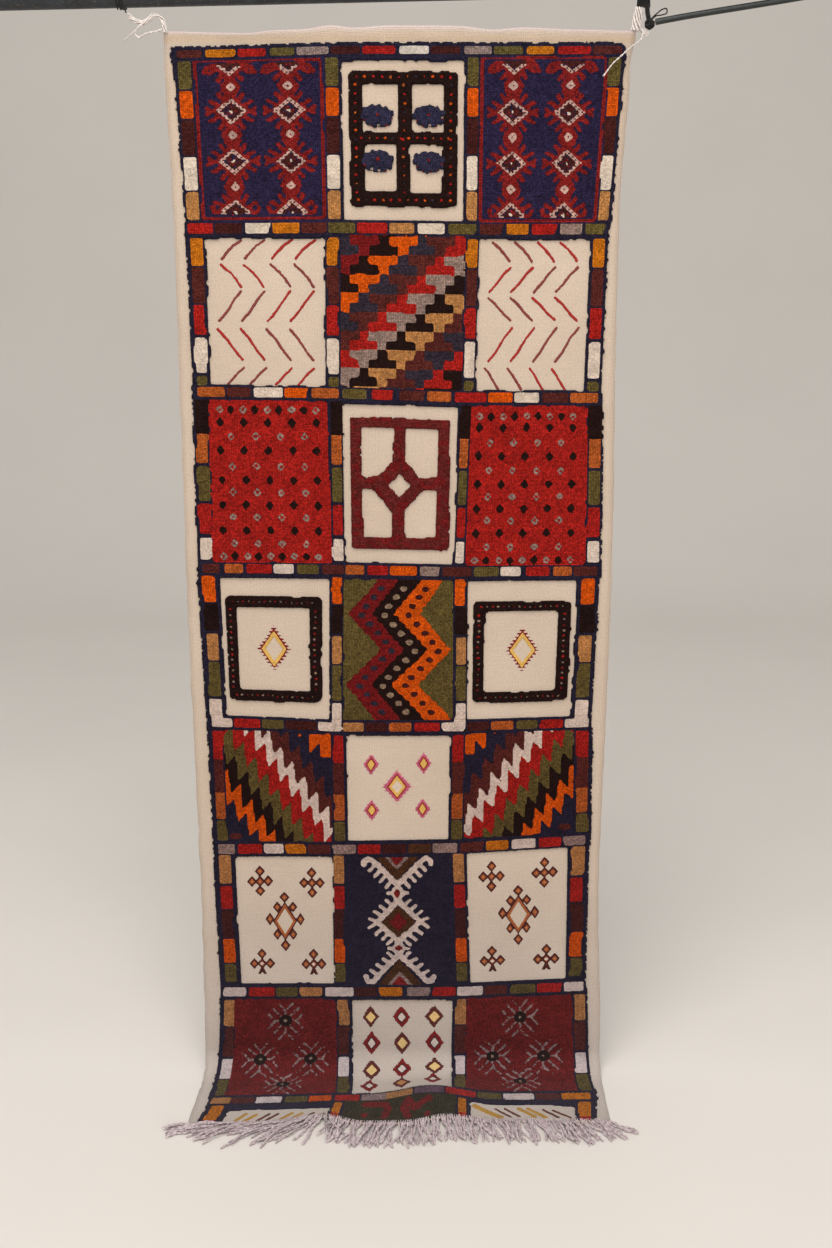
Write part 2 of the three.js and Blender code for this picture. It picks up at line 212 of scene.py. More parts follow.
# Weave with fine weft ribs over warps, read from the cloth's own weave map in metres
def weaveMaterial(name, weftPitch, warpPitch, grooveShade, relief):
    material, tree, shader = newMaterial(name)
    weave = tree.nodes.new("ShaderNodeUVMap")
    weave.uv_map = "weave"
    place = objectPlace(tree)

    def ribs(direction, period, distortion):
        wave = tree.nodes.new("ShaderNodeTexWave")
        wave.bands_direction = direction
        setInputs(wave, {"Scale": 2 * math.pi / (20 * period), "Distortion": distortion, "Detail": 1.0,
                         "Detail Scale": 0.4})
        tree.links.new(weave.outputs["UV"], wave.inputs["Vector"])
        return wave.outputs["Fac"]

    def stretchedNoise(scale, detail):
        mapping = tree.nodes.new("ShaderNodeMapping")
        mapping.inputs["Scale"].default_value = scale
        tree.links.new(weave.outputs["UV"], mapping.inputs["Vector"])
        return noiseNode(tree, mapping.outputs["Vector"], 1.0, detail)

    both = tree.nodes.new("ShaderNodeMath")
    both.operation = "MULTIPLY_ADD"
    both.inputs[1].default_value = 0.6
    tree.links.new(ribs("X", warpPitch, 0.8), both.inputs[0])
    tree.links.new(ribs("Y", weftPitch, 1.2), both.inputs[2])
    streaks = rampNode(tree, stretchedNoise((24, 420, 1), 3.0),
                       [(0.3, (0.955, 0.95, 0.945)), (0.7, (1.03, 1.03, 1.03))])
    # Painted shade in the grooves between the ribs
    ribShade = rampNode(tree, both.outputs["Value"],
                        [(0.1, (grooveShade, grooveShade, grooveShade)), (0.75, (1.03, 1.03, 1.03))])
    grain = rampNode(tree, stretchedNoise((300, 380, 1), 2.0),
                     [(0.34, (0.89, 0.88, 0.87)), (0.64, (1.05, 1.05, 1.05))])
    soil = rampNode(tree, noiseNode(tree, place, 7, 4.0),
                    [(0.32, (0.95, 0.94, 0.925)), (0.66, (1.02, 1.02, 1.02))])
    shade = multiplyColours(tree, dyeNode(tree), streaks, ribShade, grain, soil)
    tree.links.new(shade, shader.inputs["Base Color"])
    setInputs(shader, {"Roughness": 0.93, "Specular IOR Level": 0.15, "Sheen Weight": 0.12})
    fibres = bumpNode(tree, noiseNode(tree, place, 1400), 0.25, 0.0006)
    tree.links.new(bumpNode(tree, both.outputs["Value"], relief, 0.0008, fibres), shader.inputs["Normal"])
    return material


# Yarn whose tone wanders between two colours
def yarnMaterial(name, low, high, scale):
    material, tree, shader = newMaterial(name)
    place = objectPlace(tree)
    stops = [(0.32, linearColour(low)), (0.68, linearColour(high))]
    tree.links.new(rampNode(tree, noiseNode(tree, place, scale, 4.0), stops), shader.inputs["Base Color"])
    setInputs(shader, {"Roughness": 0.94, "Specular IOR Level": 0.15, "Sheen Weight": 0.2})
    fibres = noiseNode(tree, place, scale * 5, 4.0)
    tree.links.new(bumpNode(tree, fibres, 0.5, 0.0006), shader.inputs["Normal"])
    return material


# Worn dark paint with flecks of dirt and dull rubbed places
def poleMaterial():
    material, tree, shader = newMaterial("worn dark pole paint")
    place = objectPlace(tree)
    stops = [(0.3, linearColour("#14171b")), (0.6, linearColour("#24292f")), (0.75, linearColour("#3b3f42"))]
    paint = rampNode(tree, noiseNode(tree, place, 34, 6.0, 0.7), stops)
    specks = rampNode(tree, noiseNode(tree, place, 520, 2.0, 0.5), [(0.66, (0, 0, 0)), (0.72, (1, 1, 1))])
    mix = tree.nodes.new("ShaderNodeMix")
    mix.data_type = "RGBA"
    tree.links.new(specks, mix.inputs["Factor"])
    tree.links.new(paint, mix.inputs["A"])
    mix.inputs["B"].default_value = (*linearColour("#8d7b6a"), 1)
    tree.links.new(mix.outputs["Result"], shader.inputs["Base Color"])
    gloss = rampNode(tree, noiseNode(tree, place, 60, 5.0),
                     [(0.3, (0.28, 0.28, 0.28)), (0.7, (0.55, 0.55, 0.55))])
    tree.links.new(gloss, shader.inputs["Roughness"])
    pits = noiseNode(tree, place, 240, 5.0)
    tree.links.new(bumpNode(tree, pits, 0.35, 0.0008), shader.inputs["Normal"])
    return material


def sheathMaterial():
    material, tree, shader = newMaterial("black-green glossy sheath")
    place = objectPlace(tree)
    stops = [(0.3, linearColour("#0c100f")), (0.7, linearColour("#232a28"))]
    tree.links.new(rampNode(tree, noiseNode(tree, place, 90, 5.0), stops), shader.inputs["Base Color"])
    shader.inputs["Roughness"].default_value = 0.34
    pits = noiseNode(tree, place, 500, 4.0)
    tree.links.new(bumpNode(tree, pits, 0.3, 0.0007), shader.inputs["Normal"])
    return material


pileWool = woolMaterial("dyed pile wool", 900, 0.7)
motifWool = woolMaterial("dyed brocade wool", 1300, 0.4)
groundWool = weaveMaterial("woven ground wool", 0.0017, 0.0034, 0.89, 0.5)
backKnots = weaveMaterial("backs of the knots", 0.0027, 0.00167, 0.72, 0.9)
fringeYarn = yarnMaterial("dusty fringe yarn", "#a19094", "#dccfd2", 190)
tieYarn = yarnMaterial("white tie yarn", "#c9beb8", "#f1e9e4", 260)
blackThread = yarnMaterial("black thread", "#0b0a0a", "#232120", 300)
poleGloss = poleMaterial()
sheathGloss = sheathMaterial()


# Meshes
def toMetres(places):
    return np.asarray(places, float) * 0.001


# Faces of four corners over a grid of point numbers
def quadsOf(number):
    return np.column_stack([number[:-1, :-1].reshape(-1), number[1:, :-1].reshape(-1),
                            number[1:, 1:].reshape(-1), number[:-1, 1:].reshape(-1)])


def meshObject(name, points, faces, material):
    mesh = bpy.data.meshes.new(name)
    points = np.asarray(points, np.float32)
    flat = np.concatenate([np.asarray(group).reshape(-1) for group in faces]).astype(np.int32)
    sizes = np.concatenate([np.full(len(group), np.asarray(group).shape[1]) for group in faces])
    mesh.vertices.add(len(points))
    mesh.vertices.foreach_set("co", points.reshape(-1))
    mesh.loops.add(len(flat))
    mesh.loops.foreach_set("vertex_index", flat)
    mesh.polygons.add(len(sizes))
    starts = np.concatenate([[0], np.cumsum(sizes)[:-1]]).astype(np.int32)
    mesh.polygons.foreach_set("loop_start", starts)
    mesh.polygons.foreach_set("use_smooth", np.ones(len(sizes), bool))
    mesh.update(calc_edges=True)
    mesh.validate()
    mesh.materials.append(material)
    made = bpy.data.objects.new(name, mesh)
    scene.collection.objects.link(made)
    return made


# Colours for all corners of all faces, in the faces' own order
def dyeCorners(made, corners):
    attribute = made.data.color_attributes.new("dye", "FLOAT_COLOR", "CORNER")
    full = np.ones((len(corners), 4), np.float32)
    full[:, :3] = corners
    attribute.data.foreach_set("color", full.reshape(-1))


def mapCorners(made, name, places):
    mesh = made.data
    layer = mesh.uv_layers.new(name=name)
    index = np.zeros(len(mesh.loops), np.int32)
    mesh.loops.foreach_get("vertex_index", index)
    layer.data.foreach_set("uv", np.asarray(places, np.float32)[index].reshape(-1))


def finishPiece(made, slotName, *nodes):
    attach(made, "root")
    if nodes:
        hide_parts(*nodes)


# Cords and yarns: Geometry Nodes sweep a flattened round outline along mesh edges, turning as it goes
def strandTree():
    tree = bpy.data.node_groups.new("twisted strand", "GeometryNodeTree")
    tree.is_modifier = True
    face = tree.interface
    face.new_socket("Geometry", in_out="INPUT", socket_type="NodeSocketGeometry")
    for name, value in (("Thickness", 0.002), ("Flatness", 1.0), ("Turns per metre", 0.0)):
        face.new_socket(name, in_out="INPUT", socket_type="NodeSocketFloat").default_value = value
    face.new_socket("Sides", in_out="INPUT", socket_type="NodeSocketInt").default_value = 6
    face.new_socket("Material", in_out="INPUT", socket_type="NodeSocketMaterial")
    face.new_socket("Geometry", in_out="OUTPUT", socket_type="NodeSocketGeometry")
    nodes = tree.nodes
    links = tree.links
    given = nodes.new("NodeGroupInput")
    result = nodes.new("NodeGroupOutput")
    toCurve = nodes.new("GeometryNodeMeshToCurve")
    width = nodes.new("GeometryNodeInputNamedAttribute")
    width.data_type = "FLOAT"
    width.inputs["Name"].default_value = "thick"
    along = nodes.new("GeometryNodeSplineParameter")
    turns = nodes.new("ShaderNodeMath")
    turns.operation = "MULTIPLY"
    angle = nodes.new("ShaderNodeMath")
    angle.operation = "MULTIPLY"
    angle.inputs[1].default_value = 2 * math.pi
    tilt = nodes.new("GeometryNodeSetCurveTilt")
    outline = nodes.new("GeometryNodeCurvePrimitiveCircle")
    squeeze = nodes.new("ShaderNodeCombineXYZ")
    shape = nodes.new("GeometryNodeTransform")
    half = nodes.new("ShaderNodeMath")
    half.operation = "MULTIPLY"
    half.inputs[1].default_value = 0.5
    sweep = nodes.new("GeometryNodeCurveToMesh")
    sweep.inputs["Fill Caps"].default_value = True
    realize = nodes.new("GeometryNodeRealizeInstances")
    shade = nodes.new("GeometryNodeSetShadeSmooth")
    finish = nodes.new("GeometryNodeSetMaterial")
    links.new(given.outputs["Geometry"], toCurve.inputs["Mesh"])
    links.new(toCurve.outputs["Curve"], tilt.inputs["Curve"])
    links.new(width.outputs["Attribute"], sweep.inputs["Scale"])
    links.new(along.outputs["Length"], turns.inputs[0])
    links.new(given.outputs["Turns per metre"], turns.inputs[1])
    links.new(turns.outputs["Value"], angle.inputs[0])
    links.new(angle.outputs["Value"], tilt.inputs["Tilt"])
    links.new(given.outputs["Sides"], outline.inputs["Resolution"])
    links.new(given.outputs["Thickness"], half.inputs[0])
    links.new(half.outputs["Value"], outline.inputs["Radius"])
    squeeze.inputs["X"].default_value = 1.0
    squeeze.inputs["Z"].default_value = 1.0
    links.new(given.outputs["Flatness"], squeeze.inputs["Y"])
    links.new(outline.outputs["Curve"], shape.inputs["Geometry"])
    links.new(squeeze.outputs["Vector"], shape.inputs["Scale"])
    links.new(tilt.outputs["Curve"], sweep.inputs["Curve"])
    links.new(shape.outputs["Geometry"], sweep.inputs["Profile Curve"])
    links.new(sweep.outputs["Mesh"], shade.inputs["Geometry"])
    links.new(shade.outputs["Geometry"], realize.inputs["Geometry"])
    links.new(realize.outputs["Geometry"], finish.inputs["Geometry"])
    links.new(given.outputs["Material"], finish.inputs["Material"])
    links.new(finish.outputs["Geometry"], result.inputs["Geometry"])
    return tree


strandNodes = strandTree()


# Runs a node tree on a rough mesh and keeps the plain mesh that comes out
def applyTree(rough, tree, values):
    modifier = rough.modifiers.new("nodes", "NODES")
    modifier.node_group = tree
    for item in tree.interface.items_tree:
        if item.item_type == "SOCKET" and item.in_out == "INPUT" and item.name in values:
            modifier[item.identifier] = values[item.name]
    rough.update_tag()
    seen = rough.evaluated_get(bpy.context.evaluated_depsgraph_get())
    mesh = bpy.data.meshes.new_from_object(seen)
    name = rough.name
    rough.modifiers.clear()
    bpy.data.objects.remove(rough)
    mesh.name = name
    made = bpy.data.objects.new(name, mesh)
    scene.collection.objects.link(made)
    return made


# paths is a list of (points in millimetres, relative thickness at each point)
def strandPiece(name, paths, material, thickness, flatness=1.0, turns=0.0, sides=6):
    points = np.concatenate([np.asarray(path) for path, _ in paths])
    thick = np.concatenate([np.asarray(widths, float) for _, widths in paths])
    edges = []
    start = 0
    for path, _ in paths:
        count = len(path)
        edges.append(np.column_stack([np.arange(count - 1), np.arange(1, count)]) + start)
        start += count
    edges = np.concatenate(edges)
    mesh = bpy.data.meshes.new(name)
    mesh.from_pydata(toMetres(points).tolist(), edges.tolist(), [])
    mesh.attributes.new("thick", "FLOAT", "POINT").data.foreach_set("value", thick.astype(np.float32))
    mesh.materials.append(material)
    rough = bpy.data.objects.new(name, mesh)
    scene.collection.objects.link(rough)
    values = {"Thickness": thickness * 0.001, "Flatness": flatness, "Turns per metre": turns,
              "Sides": sides, "Material": material}
    return applyTree(rough, strandNodes, values)


# A smooth line through a route, passing through every place of it, as many points as asked for
def smoothLine(route, count):
    route = np.asarray(route, float)
    ends = np.concatenate([[2 * route[0] - route[1]], route, [2 * route[-1] - route[-2]]])
    gaps = np.sqrt(np.linalg.norm(np.diff(ends, axis=0), axis=1))
    times = np.concatenate([[0], np.cumsum(gaps)])
    asked = np.linspace(times[1], times[-2], count)
    out = []
    for when in asked:
        at = int(np.clip(np.searchsorted(times, when, side="right") - 1, 1, len(route) - 1))
        t0, t1, t2, t3 = times[at - 1:at + 3]
        p0, p1, p2, p3 = ends[at - 1:at + 3]
        a1 = (t1 - when) / (t1 - t0) * p0 + (when - t0) / (t1 - t0) * p1
        a2 = (t2 - when) / (t2 - t1) * p1 + (when - t1) / (t2 - t1) * p2
        a3 = (t3 - when) / (t3 - t2) * p2 + (when - t2) / (t3 - t2) * p3
        b1 = (t2 - when) / (t2 - t0) * a1 + (when - t0) / (t2 - t0) * a2
        b2 = (t3 - when) / (t3 - t1) * a2 + (when - t1) / (t3 - t1) * a3
        out.append((t2 - when) / (t2 - t1) * b1 + (when - t1) / (t2 - t1) * b2)
    return np.array(out)


# A route written with heights above the ground, brought to the pole's frame
def lowered(route):
    return np.asarray(route, float) - np.array([0, 0, poleHeight])


# Several yarns laid round one route, turning about it
def pliedYarns(route, count, ringRadius, turnsPerMetre, yarns, phase=0.0, uneven=0.0, seed=0, flare=0.0):
    line = smoothLine(lowered(route), count)
    tangent = np.gradient(line, axis=0)
    tangent /= np.linalg.norm(tangent, axis=1)[:, None]
    side = np.cross(tangent, [0, 1, 0])
    side /= np.linalg.norm(side, axis=1)[:, None]
    other = np.cross(side, tangent)
    steps = np.linalg.norm(np.diff(line, axis=0), axis=1)
    length = np.concatenate([[0], np.cumsum(steps)]) * 0.001
    draw = np.random.default_rng(seed)
    paths = []
    for yarn in range(yarns):
        angle = 2 * math.pi * (length * turnsPerMetre + yarn / yarns) + phase
        ring = ringRadius * (1 + uneven * np.sin(length * draw.uniform(80, 200) + draw.uniform(0, 6)))
        ring = ring * np.linspace(1 + flare, 1, count)
        offset = side * (np.cos(angle) * ring)[:, None] + other * (np.sin(angle) * ring)[:, None]
        paths.append((line + offset, np.ones(count)))
    return paths


# A place given along the pole and across it, turned with the pole's slope
def onPole(along, y, up):
    along, y, up = np.broadcast_arrays(np.asarray(along, float), y, up)
    x = along * math.cos(poleSlope) - up * math.sin(poleSlope)
    z = along * math.sin(poleSlope) + up * math.cos(poleSlope)
    return np.stack([x, y, z], axis=-1)


# The side line: a taut black line from the strap's knot up to a hitch on the pole, past the right of the rug
sideLine = {
    "route": [(464.4, -4, 2133), (500, -3.8, 2139.4), (550, -3.4, 2147.6), (600, -2.8, 2155.2),
              (650, -2.2, 2162.8), (700, -1.2, 2170.6), (745.6, 0, 2178.2)],
    "thick": 11.0,
    "length": 0.287,
}
lineHitch = {"at": 752, "turns": 1.6, "pitch": 12.2, "thick": 11.0, "stepsPerTurn": 16}


def winding(at, turns, pitch, thick, stepsPerTurn, finer=2):
    radius = (poleRadius + seatGap + thick / 2) / math.cos(math.pi / stepsPerTurn)
    turn = np.linspace(0, turns, int(turns * stepsPerTurn * finer) + 1)
    angle = turn * 2 * math.pi
    return onPole(at + pitch * turn, -radius * np.sin(angle), -radius * np.cos(angle))


def makeSideLine():
    curve = bpy.data.curves.new("side_line_sheath", "CURVE")
    curve.dimensions = "3D"
    curve.bevel_depth = sideLine["thick"] / 2 * 0.001
    curve.bevel_resolution = 5
    curve.use_fill_caps = True
    line = toMetres(smoothLine(lowered(sideLine["route"]), 25))
    spline = curve.splines.new("POLY")
    spline.points.add(len(line) - 1)
    spline.points.foreach_set("co", np.column_stack([line, np.ones(len(line))]).reshape(-1))
    spline.use_smooth = True
    curve.materials.append(sheathGloss)
    made = bpy.data.objects.new("side_line_sheath", curve)
    scene.collection.objects.link(made)
    coil = winding(**lineHitch)
    hitch = strandPiece("side_line_hitch", [(coil, np.ones(len(coil)))], sheathGloss,
                        lineHitch["thick"], 1.0, 0.0, 14)
    finishPiece(hitch, "line_cover", "line_hitch")
    finishPiece(made, "line_cover", "side_line")


makeSideLine()
print("side line and hitch made")

# The cloth's own shape, as in the solids
cloth = {"top": 2118.0, "length": 2290.0, "bendRadius": 58.0, "ground": 3.2}
hangLength = cloth["top"] - cloth["bendRadius"]
bendLength = math.pi / 2 * cloth["bendRadius"]
edges = {
    "down": [0, 60, 330, 1060, 1650, 2060, 2290],
    "left": [-433, -433, -428, -432, -428, -433, -439],
    "right": [430, 421, 411, 420, 416, 432, 430],
}
topEdge = {"across": [-433, -275, -229, -179, -127, -86, -15, 103, 167, 228, 328, 430],
           "dip": [0.3, 3.2, -1.1, -1.9, -8.6, -3.9, -7.5, -7.2, -1.5, -5.6, -2.4, 0]}
lowerEdge = {"across": [-439, -300, -170, -80, 10, 100, 200, 430], "reach": [6, 0, -17, 1, 1, -15, -9, -7]}
folds = {
    "across": [20, -330, 260, -150, 190, -400, 400, -60],
    "down": [0, 260, 520, 980, 1330, 1500, 1150, 1620],
    "wide": [190, 90, 110, 150, 150, 70, 80, 120],
    "long": [420, 420, 480, 380, 420, 380, 420, 300],
    "out": [9, -4, -5, -4, 5, 6, 4, 4],
}
humps = {"across": [62, -150], "down": [2204, 2262], "wide": [58, 40], "long": [46, 30], "high": [21, 6]}


def bump(offset, width):
    return np.exp(-0.5 * (offset / width) ** 2)


def unevenness(across, down):
    fade = 1 - smooth(down, hangLength - 420, hangLength - 60)
    out = np.zeros(np.broadcast(across, down).shape)
    for x, y, wide, long, far in zip(*(folds[key] for key in ("across", "down", "wide", "long", "out"))):
        out += fade * far * bump(across - x, wide) * bump(down - y, long)
    for x, y, wide, long, high in zip(*(humps[key] for key in ("across", "down", "wide", "long", "high"))):
        out += high * bump(across - x, wide) * bump(down - y, long)
    return out


def unevenDown(across, down):
    topShare = 1 - smooth(down, 0, 14)
    lowerShare = smooth(down, cloth["length"] - 60, cloth["length"])
    top = readTable(topEdge, "across", across, "dip")
    lower = readTable(lowerEdge, "across", across, "reach")
    return down + top * topShare + lower * lowerShare


# Points of the cloth in metres, lifted off its back face towards the face side
def clothPoints(across, down, lift):
    across, down, lift = np.broadcast_arrays(across, unevenDown(across, down), lift)
    angle = np.clip((down - hangLength) / cloth["bendRadius"], 0, math.pi / 2)
    flat = np.maximum(down - hangLength - bendLength, 0)
    out = lift + unevenness(across, down)
    radius = cloth["bendRadius"]
    y = -radius * (1 - np.cos(angle)) - flat - np.cos(angle) * out
    z = cloth["top"] - np.minimum(down, hangLength) - radius * np.sin(angle) + np.sin(angle) * out
    return toMetres(np.stack([across, y, z - poleHeight], axis=-1))


# The lattice of bands: where the four long bands cross each cross band, with the last row at the hem
panelKnots = 77
bandColumns = [panelKnots * number for number in range(4)]
crossRows = [0, 115, 229, 356, 475, 574, 698, 804, 835]
crossings = {
    "across": [
        [-395, -388, -385, -388, -381, -378, -374, -390, -402],
        [-127, -126, -131, -129, -135, -133, -134, -130, -140],
        [133, 133, 127, 116, 117, 115, 128, 124, 122],
        [392, 376, 372, 377, 370, 374, 378, 389, 378],
    ],
    "down": [
        [38, 345, 647, 994, 1314, 1591, 1924, 2217, 2290],
        [33, 344, 650, 997, 1326, 1593, 1924, 2208, 2290],
        [33, 347, 658, 1001, 1324, 1588, 1923, 2203, 2290],
        [31, 346, 659, 999, 1315, 1571, 1911, 2199, 2290],
    ],
}


# Turns knot columns and rows into places across and down the cloth
def knotPlaces(columns, rows):
    columns, rows = np.broadcast_arrays(np.asarray(columns, float), np.asarray(rows, float))
    across = np.stack([readStraight(crossRows, rows, line) for line in crossings["across"]])
    down = np.stack([readStraight(crossRows, rows, line) for line in crossings["down"]])
    at = np.clip(np.floor(columns / panelKnots).astype(int), 0, 2)
    share = columns / panelKnots - at
    pick = (at, *np.indices(at.shape))
    after = (at + 1, *np.indices(at.shape))
    return across[pick] * (1 - share) + across[after] * share, down[pick] * (1 - share) + down[after] * share


# A knot's usual size and the place of the first crossing, from which the search for a knot starts
knot = {"wide": 3.34, "high": 2.72, "across": -385, "down": 35}


# The knot column and row at a place of the cloth, found by steps
def knotsAt(across, down):
    columns = (across - knot["across"]) / knot["wide"]
    rows = (down - knot["down"]) / knot["high"]
    for _ in range(9):
        x, y = knotPlaces(columns, rows)
        columns = columns + (across - x) / knot["wide"]
        rows = rows + (down - y) / knot["high"]
    return columns, rows


# Dyes
dyes = {
    "navy": "#272234", "black": "#241310", "red": "#a9201a", "brick": "#841f1d", "crimson": "#78191a",
    "darkRed": "#741c1c", "maroon": "#5a2722", "darkBrown": "#471e1b", "rust": "#b45a27",
    "orange": "#d3530a", "amber": "#c56f16", "tan": "#b67d49", "olive": "#63542c", "grey": "#957c72",
    "cream": "#cdbbaa", "white": "#d2bfaf", "yellow": "#cfa658", "pink": "#b0536b", "palePink": "#cf9aa0",
    "ochre": "#b5863a", "brown": "#64392f", "tawny": "#9a5330", "oliveBrown": "#52311b", "slate": "#352c37",
    "greyCream": "#937b64", "sienna": "#6b2522", "rose": "#7f3f3c", "moss": "#38331f",
    "flowerBlue": "#302d44", "plum": "#5c3037", "denim": "#2b2340", "mauve": "#6b5059",
    "madder": "#9b2f2a", "dusty": "#c09a8e", "straw": "#e0bb78",
}
dyeNames = list(dyes)
dyeNumber = {name: number + 1 for number, name in enumerate(dyeNames)}
dyeTable = np.array([linearColour(dyes["cream"])] + [linearColour(dyes[name]) for name in dyeNames])

# Painted light and dust down the cloth: a painted highlight on the rolled top edge, darker, yellower painted
# shade just under the roll, painted shade that cools towards the foot, and dust mixed with a painted sheen
# where the foot turns up. Each row is a place down the cloth, three factors for red, green and blue, and the
# share of dust and sheen
paintedLightAndDust = {
    "down": [0, 4, 13, 26, 60, 400, 1500, 1800, 2050, 2290],
    "red": [0.98, 0.92, 0.84, 0.87, 0.95, 1.0, 1.0, 0.94, 0.92, 0.88],
    "green": [1.0, 0.95, 0.78, 0.9, 0.93, 1.0, 1.0, 0.96, 0.99, 0.98],
    "blue": [1.25, 1.0, 0.68, 0.94, 0.91, 1.0, 1.0, 1.0, 1.12, 1.12],
    "dustAndSheen": [0, 0, 0, 0, 0, 0, 0, 0.02, 0.04, 0.08],
}
# Tone of the dust and painted sheen mixed in at the foot
dustAndSheenTone = (0.25, 0.215, 0.205)


# Painted light on the pile: brighter in the upper half and darker towards the foot, where less light falls
pilePaintedLight = {
    "down": [0, 340, 660, 1000, 1250, 1400, 1750, 2060],
    "red": [1.03, 1.08, 1.07, 1.05, 1.02, 0.95, 0.93, 0.95],
    "green": [1.12, 1.12, 1.09, 1.06, 1.0, 0.9, 0.88, 0.93],
    "blue": [1.18, 1.1, 1.09, 1.08, 1.02, 0.94, 0.93, 1.0],
}


def factorsAt(table, down):
    return np.stack([np.interp(down, table["down"], table[key]) for key in ("red", "green", "blue")],
                    axis=-1)


# Multiplies in the painted light and shade down the cloth, and mixes in dust with a painted sheen
def withPaintedLightAndDust(colours, down):
    dustAndSheen = np.interp(down, paintedLightAndDust["down"], paintedLightAndDust["dustAndSheen"])[..., None]
    return colours * factorsAt(paintedLightAndDust, down) * (1 - dustAndSheen) + dustAndSheen * np.array(dustAndSheenTone)


# Charts hold a dye number for each cell, 0 where the ground shows. The pile chart has one cell a knot,
# and the brocade chart two each way. Outlines are read from places that wander a little, as knots do.
chartBox = {"left": -9, "top": -8, "columns": 250, "rows": 843}


def newChart(fine, seed, wander, wobble, ragged):
    rows = chartBox["rows"] * fine
    columns = chartBox["columns"] * fine
    draw = np.random.default_rng(seed)
    x = chartBox["left"] + (np.arange(columns) + 0.5) / fine
    y = chartBox["top"] + (np.arange(rows) + 0.5) / fine
    x, y = np.meshgrid(x, y)
    plainX = x + wander * softNoise(rows, columns, 14 * fine, seed + 1)
    plainY = y + wander * softNoise(rows, columns, 12 * fine, seed + 2)
    x = plainX + wobble * softNoise(rows, columns, 3.0 * fine, seed + 3) + draw.uniform(-ragged, ragged,
                                                                                        x.shape)
    y = plainY + wobble * softNoise(rows, columns, 3.0 * fine, seed + 4) + draw.uniform(-ragged, ragged,
                                                                                        y.shape)
    return {"fine": fine, "plainX": plainX, "plainY": plainY, "x": x, "y": y,
            "cells": np.zeros(x.shape, np.int8)}


# The part of a chart for one panel, with x and y counted from its upper left crossing
def panelView(chart, row, column, plain=False):
    fine = chart["fine"]
    left = bandColumns[column]
    top = crossRows[row]
    rows = slice((top - chartBox["top"]) * fine, (crossRows[row + 1] - chartBox["top"]) * fine)
    columns = slice((left - chartBox["left"]) * fine, (left + 77 - chartBox["left"]) * fine)
    x = chart["plainX" if plain else "x"][rows, columns] - left
    y = chart["plainY" if plain else "y"][rows, columns] - top
    cells = chart["cells"][rows, columns]

    def put(mask, dye):
        cells[mask] = dyeNumber[dye] if dye else 0

    return x, y, put


def lozenge(x, y, cx, cy, halfWide, halfHigh):
    return np.abs(x - cx) / halfWide + np.abs(y - cy) / halfHigh


def oval(x, y, cx, cy, halfWide, halfHigh):
    return np.hypot((x - cx) / halfWide, (y - cy) / halfHigh)


# A box with rounded corners. A knot is a quarter wider than it is high.
def roundBox(x, y, left, top, right, bottom, corner=1.4):
    across = np.maximum(np.maximum(left + corner - x, x - right + corner), 0)
    along = np.maximum(np.maximum(top + corner * 1.25 - y, y - bottom + corner * 1.25), 0) / 1.25
    return np.hypot(across, along) < corner


# Distance from a broken line, in knot widths
def lineDistance(x, y, points):
    best = np.full(x.shape, 1e9)
    for (ax, ay), (bx, by) in zip(points[:-1], points[1:]):
        dx = bx - ax
        dy = (by - ay) * 0.8
        px = x - ax
        py = (y - ay) * 0.8
        share = np.clip((px * dx + py * dy) / (dx * dx + dy * dy), 0, 1)
        best = np.minimum(best, np.hypot(px - share * dx, py - share * dy))
    return best


def inside(x, y, corners):
    found = np.zeros(x.shape, bool)
    for (ax, ay), (bx, by) in zip(corners, corners[1:] + corners[:1]):
        if ay == by:
            continue
        crosses = (ay > y) != (by > y)
        found ^= crosses & (x < (bx - ax) * (y - ay) / (by - ay) + ax)
    return found


def teeth(place, period):
    return 2 * np.abs(2 * (place / period - np.floor(place / period + 0.5))) - 1


def mirrored(points, middle):
    return [(2 * middle - x, y) for x, y in points]


pileChart = newChart(1, 11, 0.45, 0.3, 0.03)
flatChart = newChart(2, 23, 0.25, 0.2, 0.05)

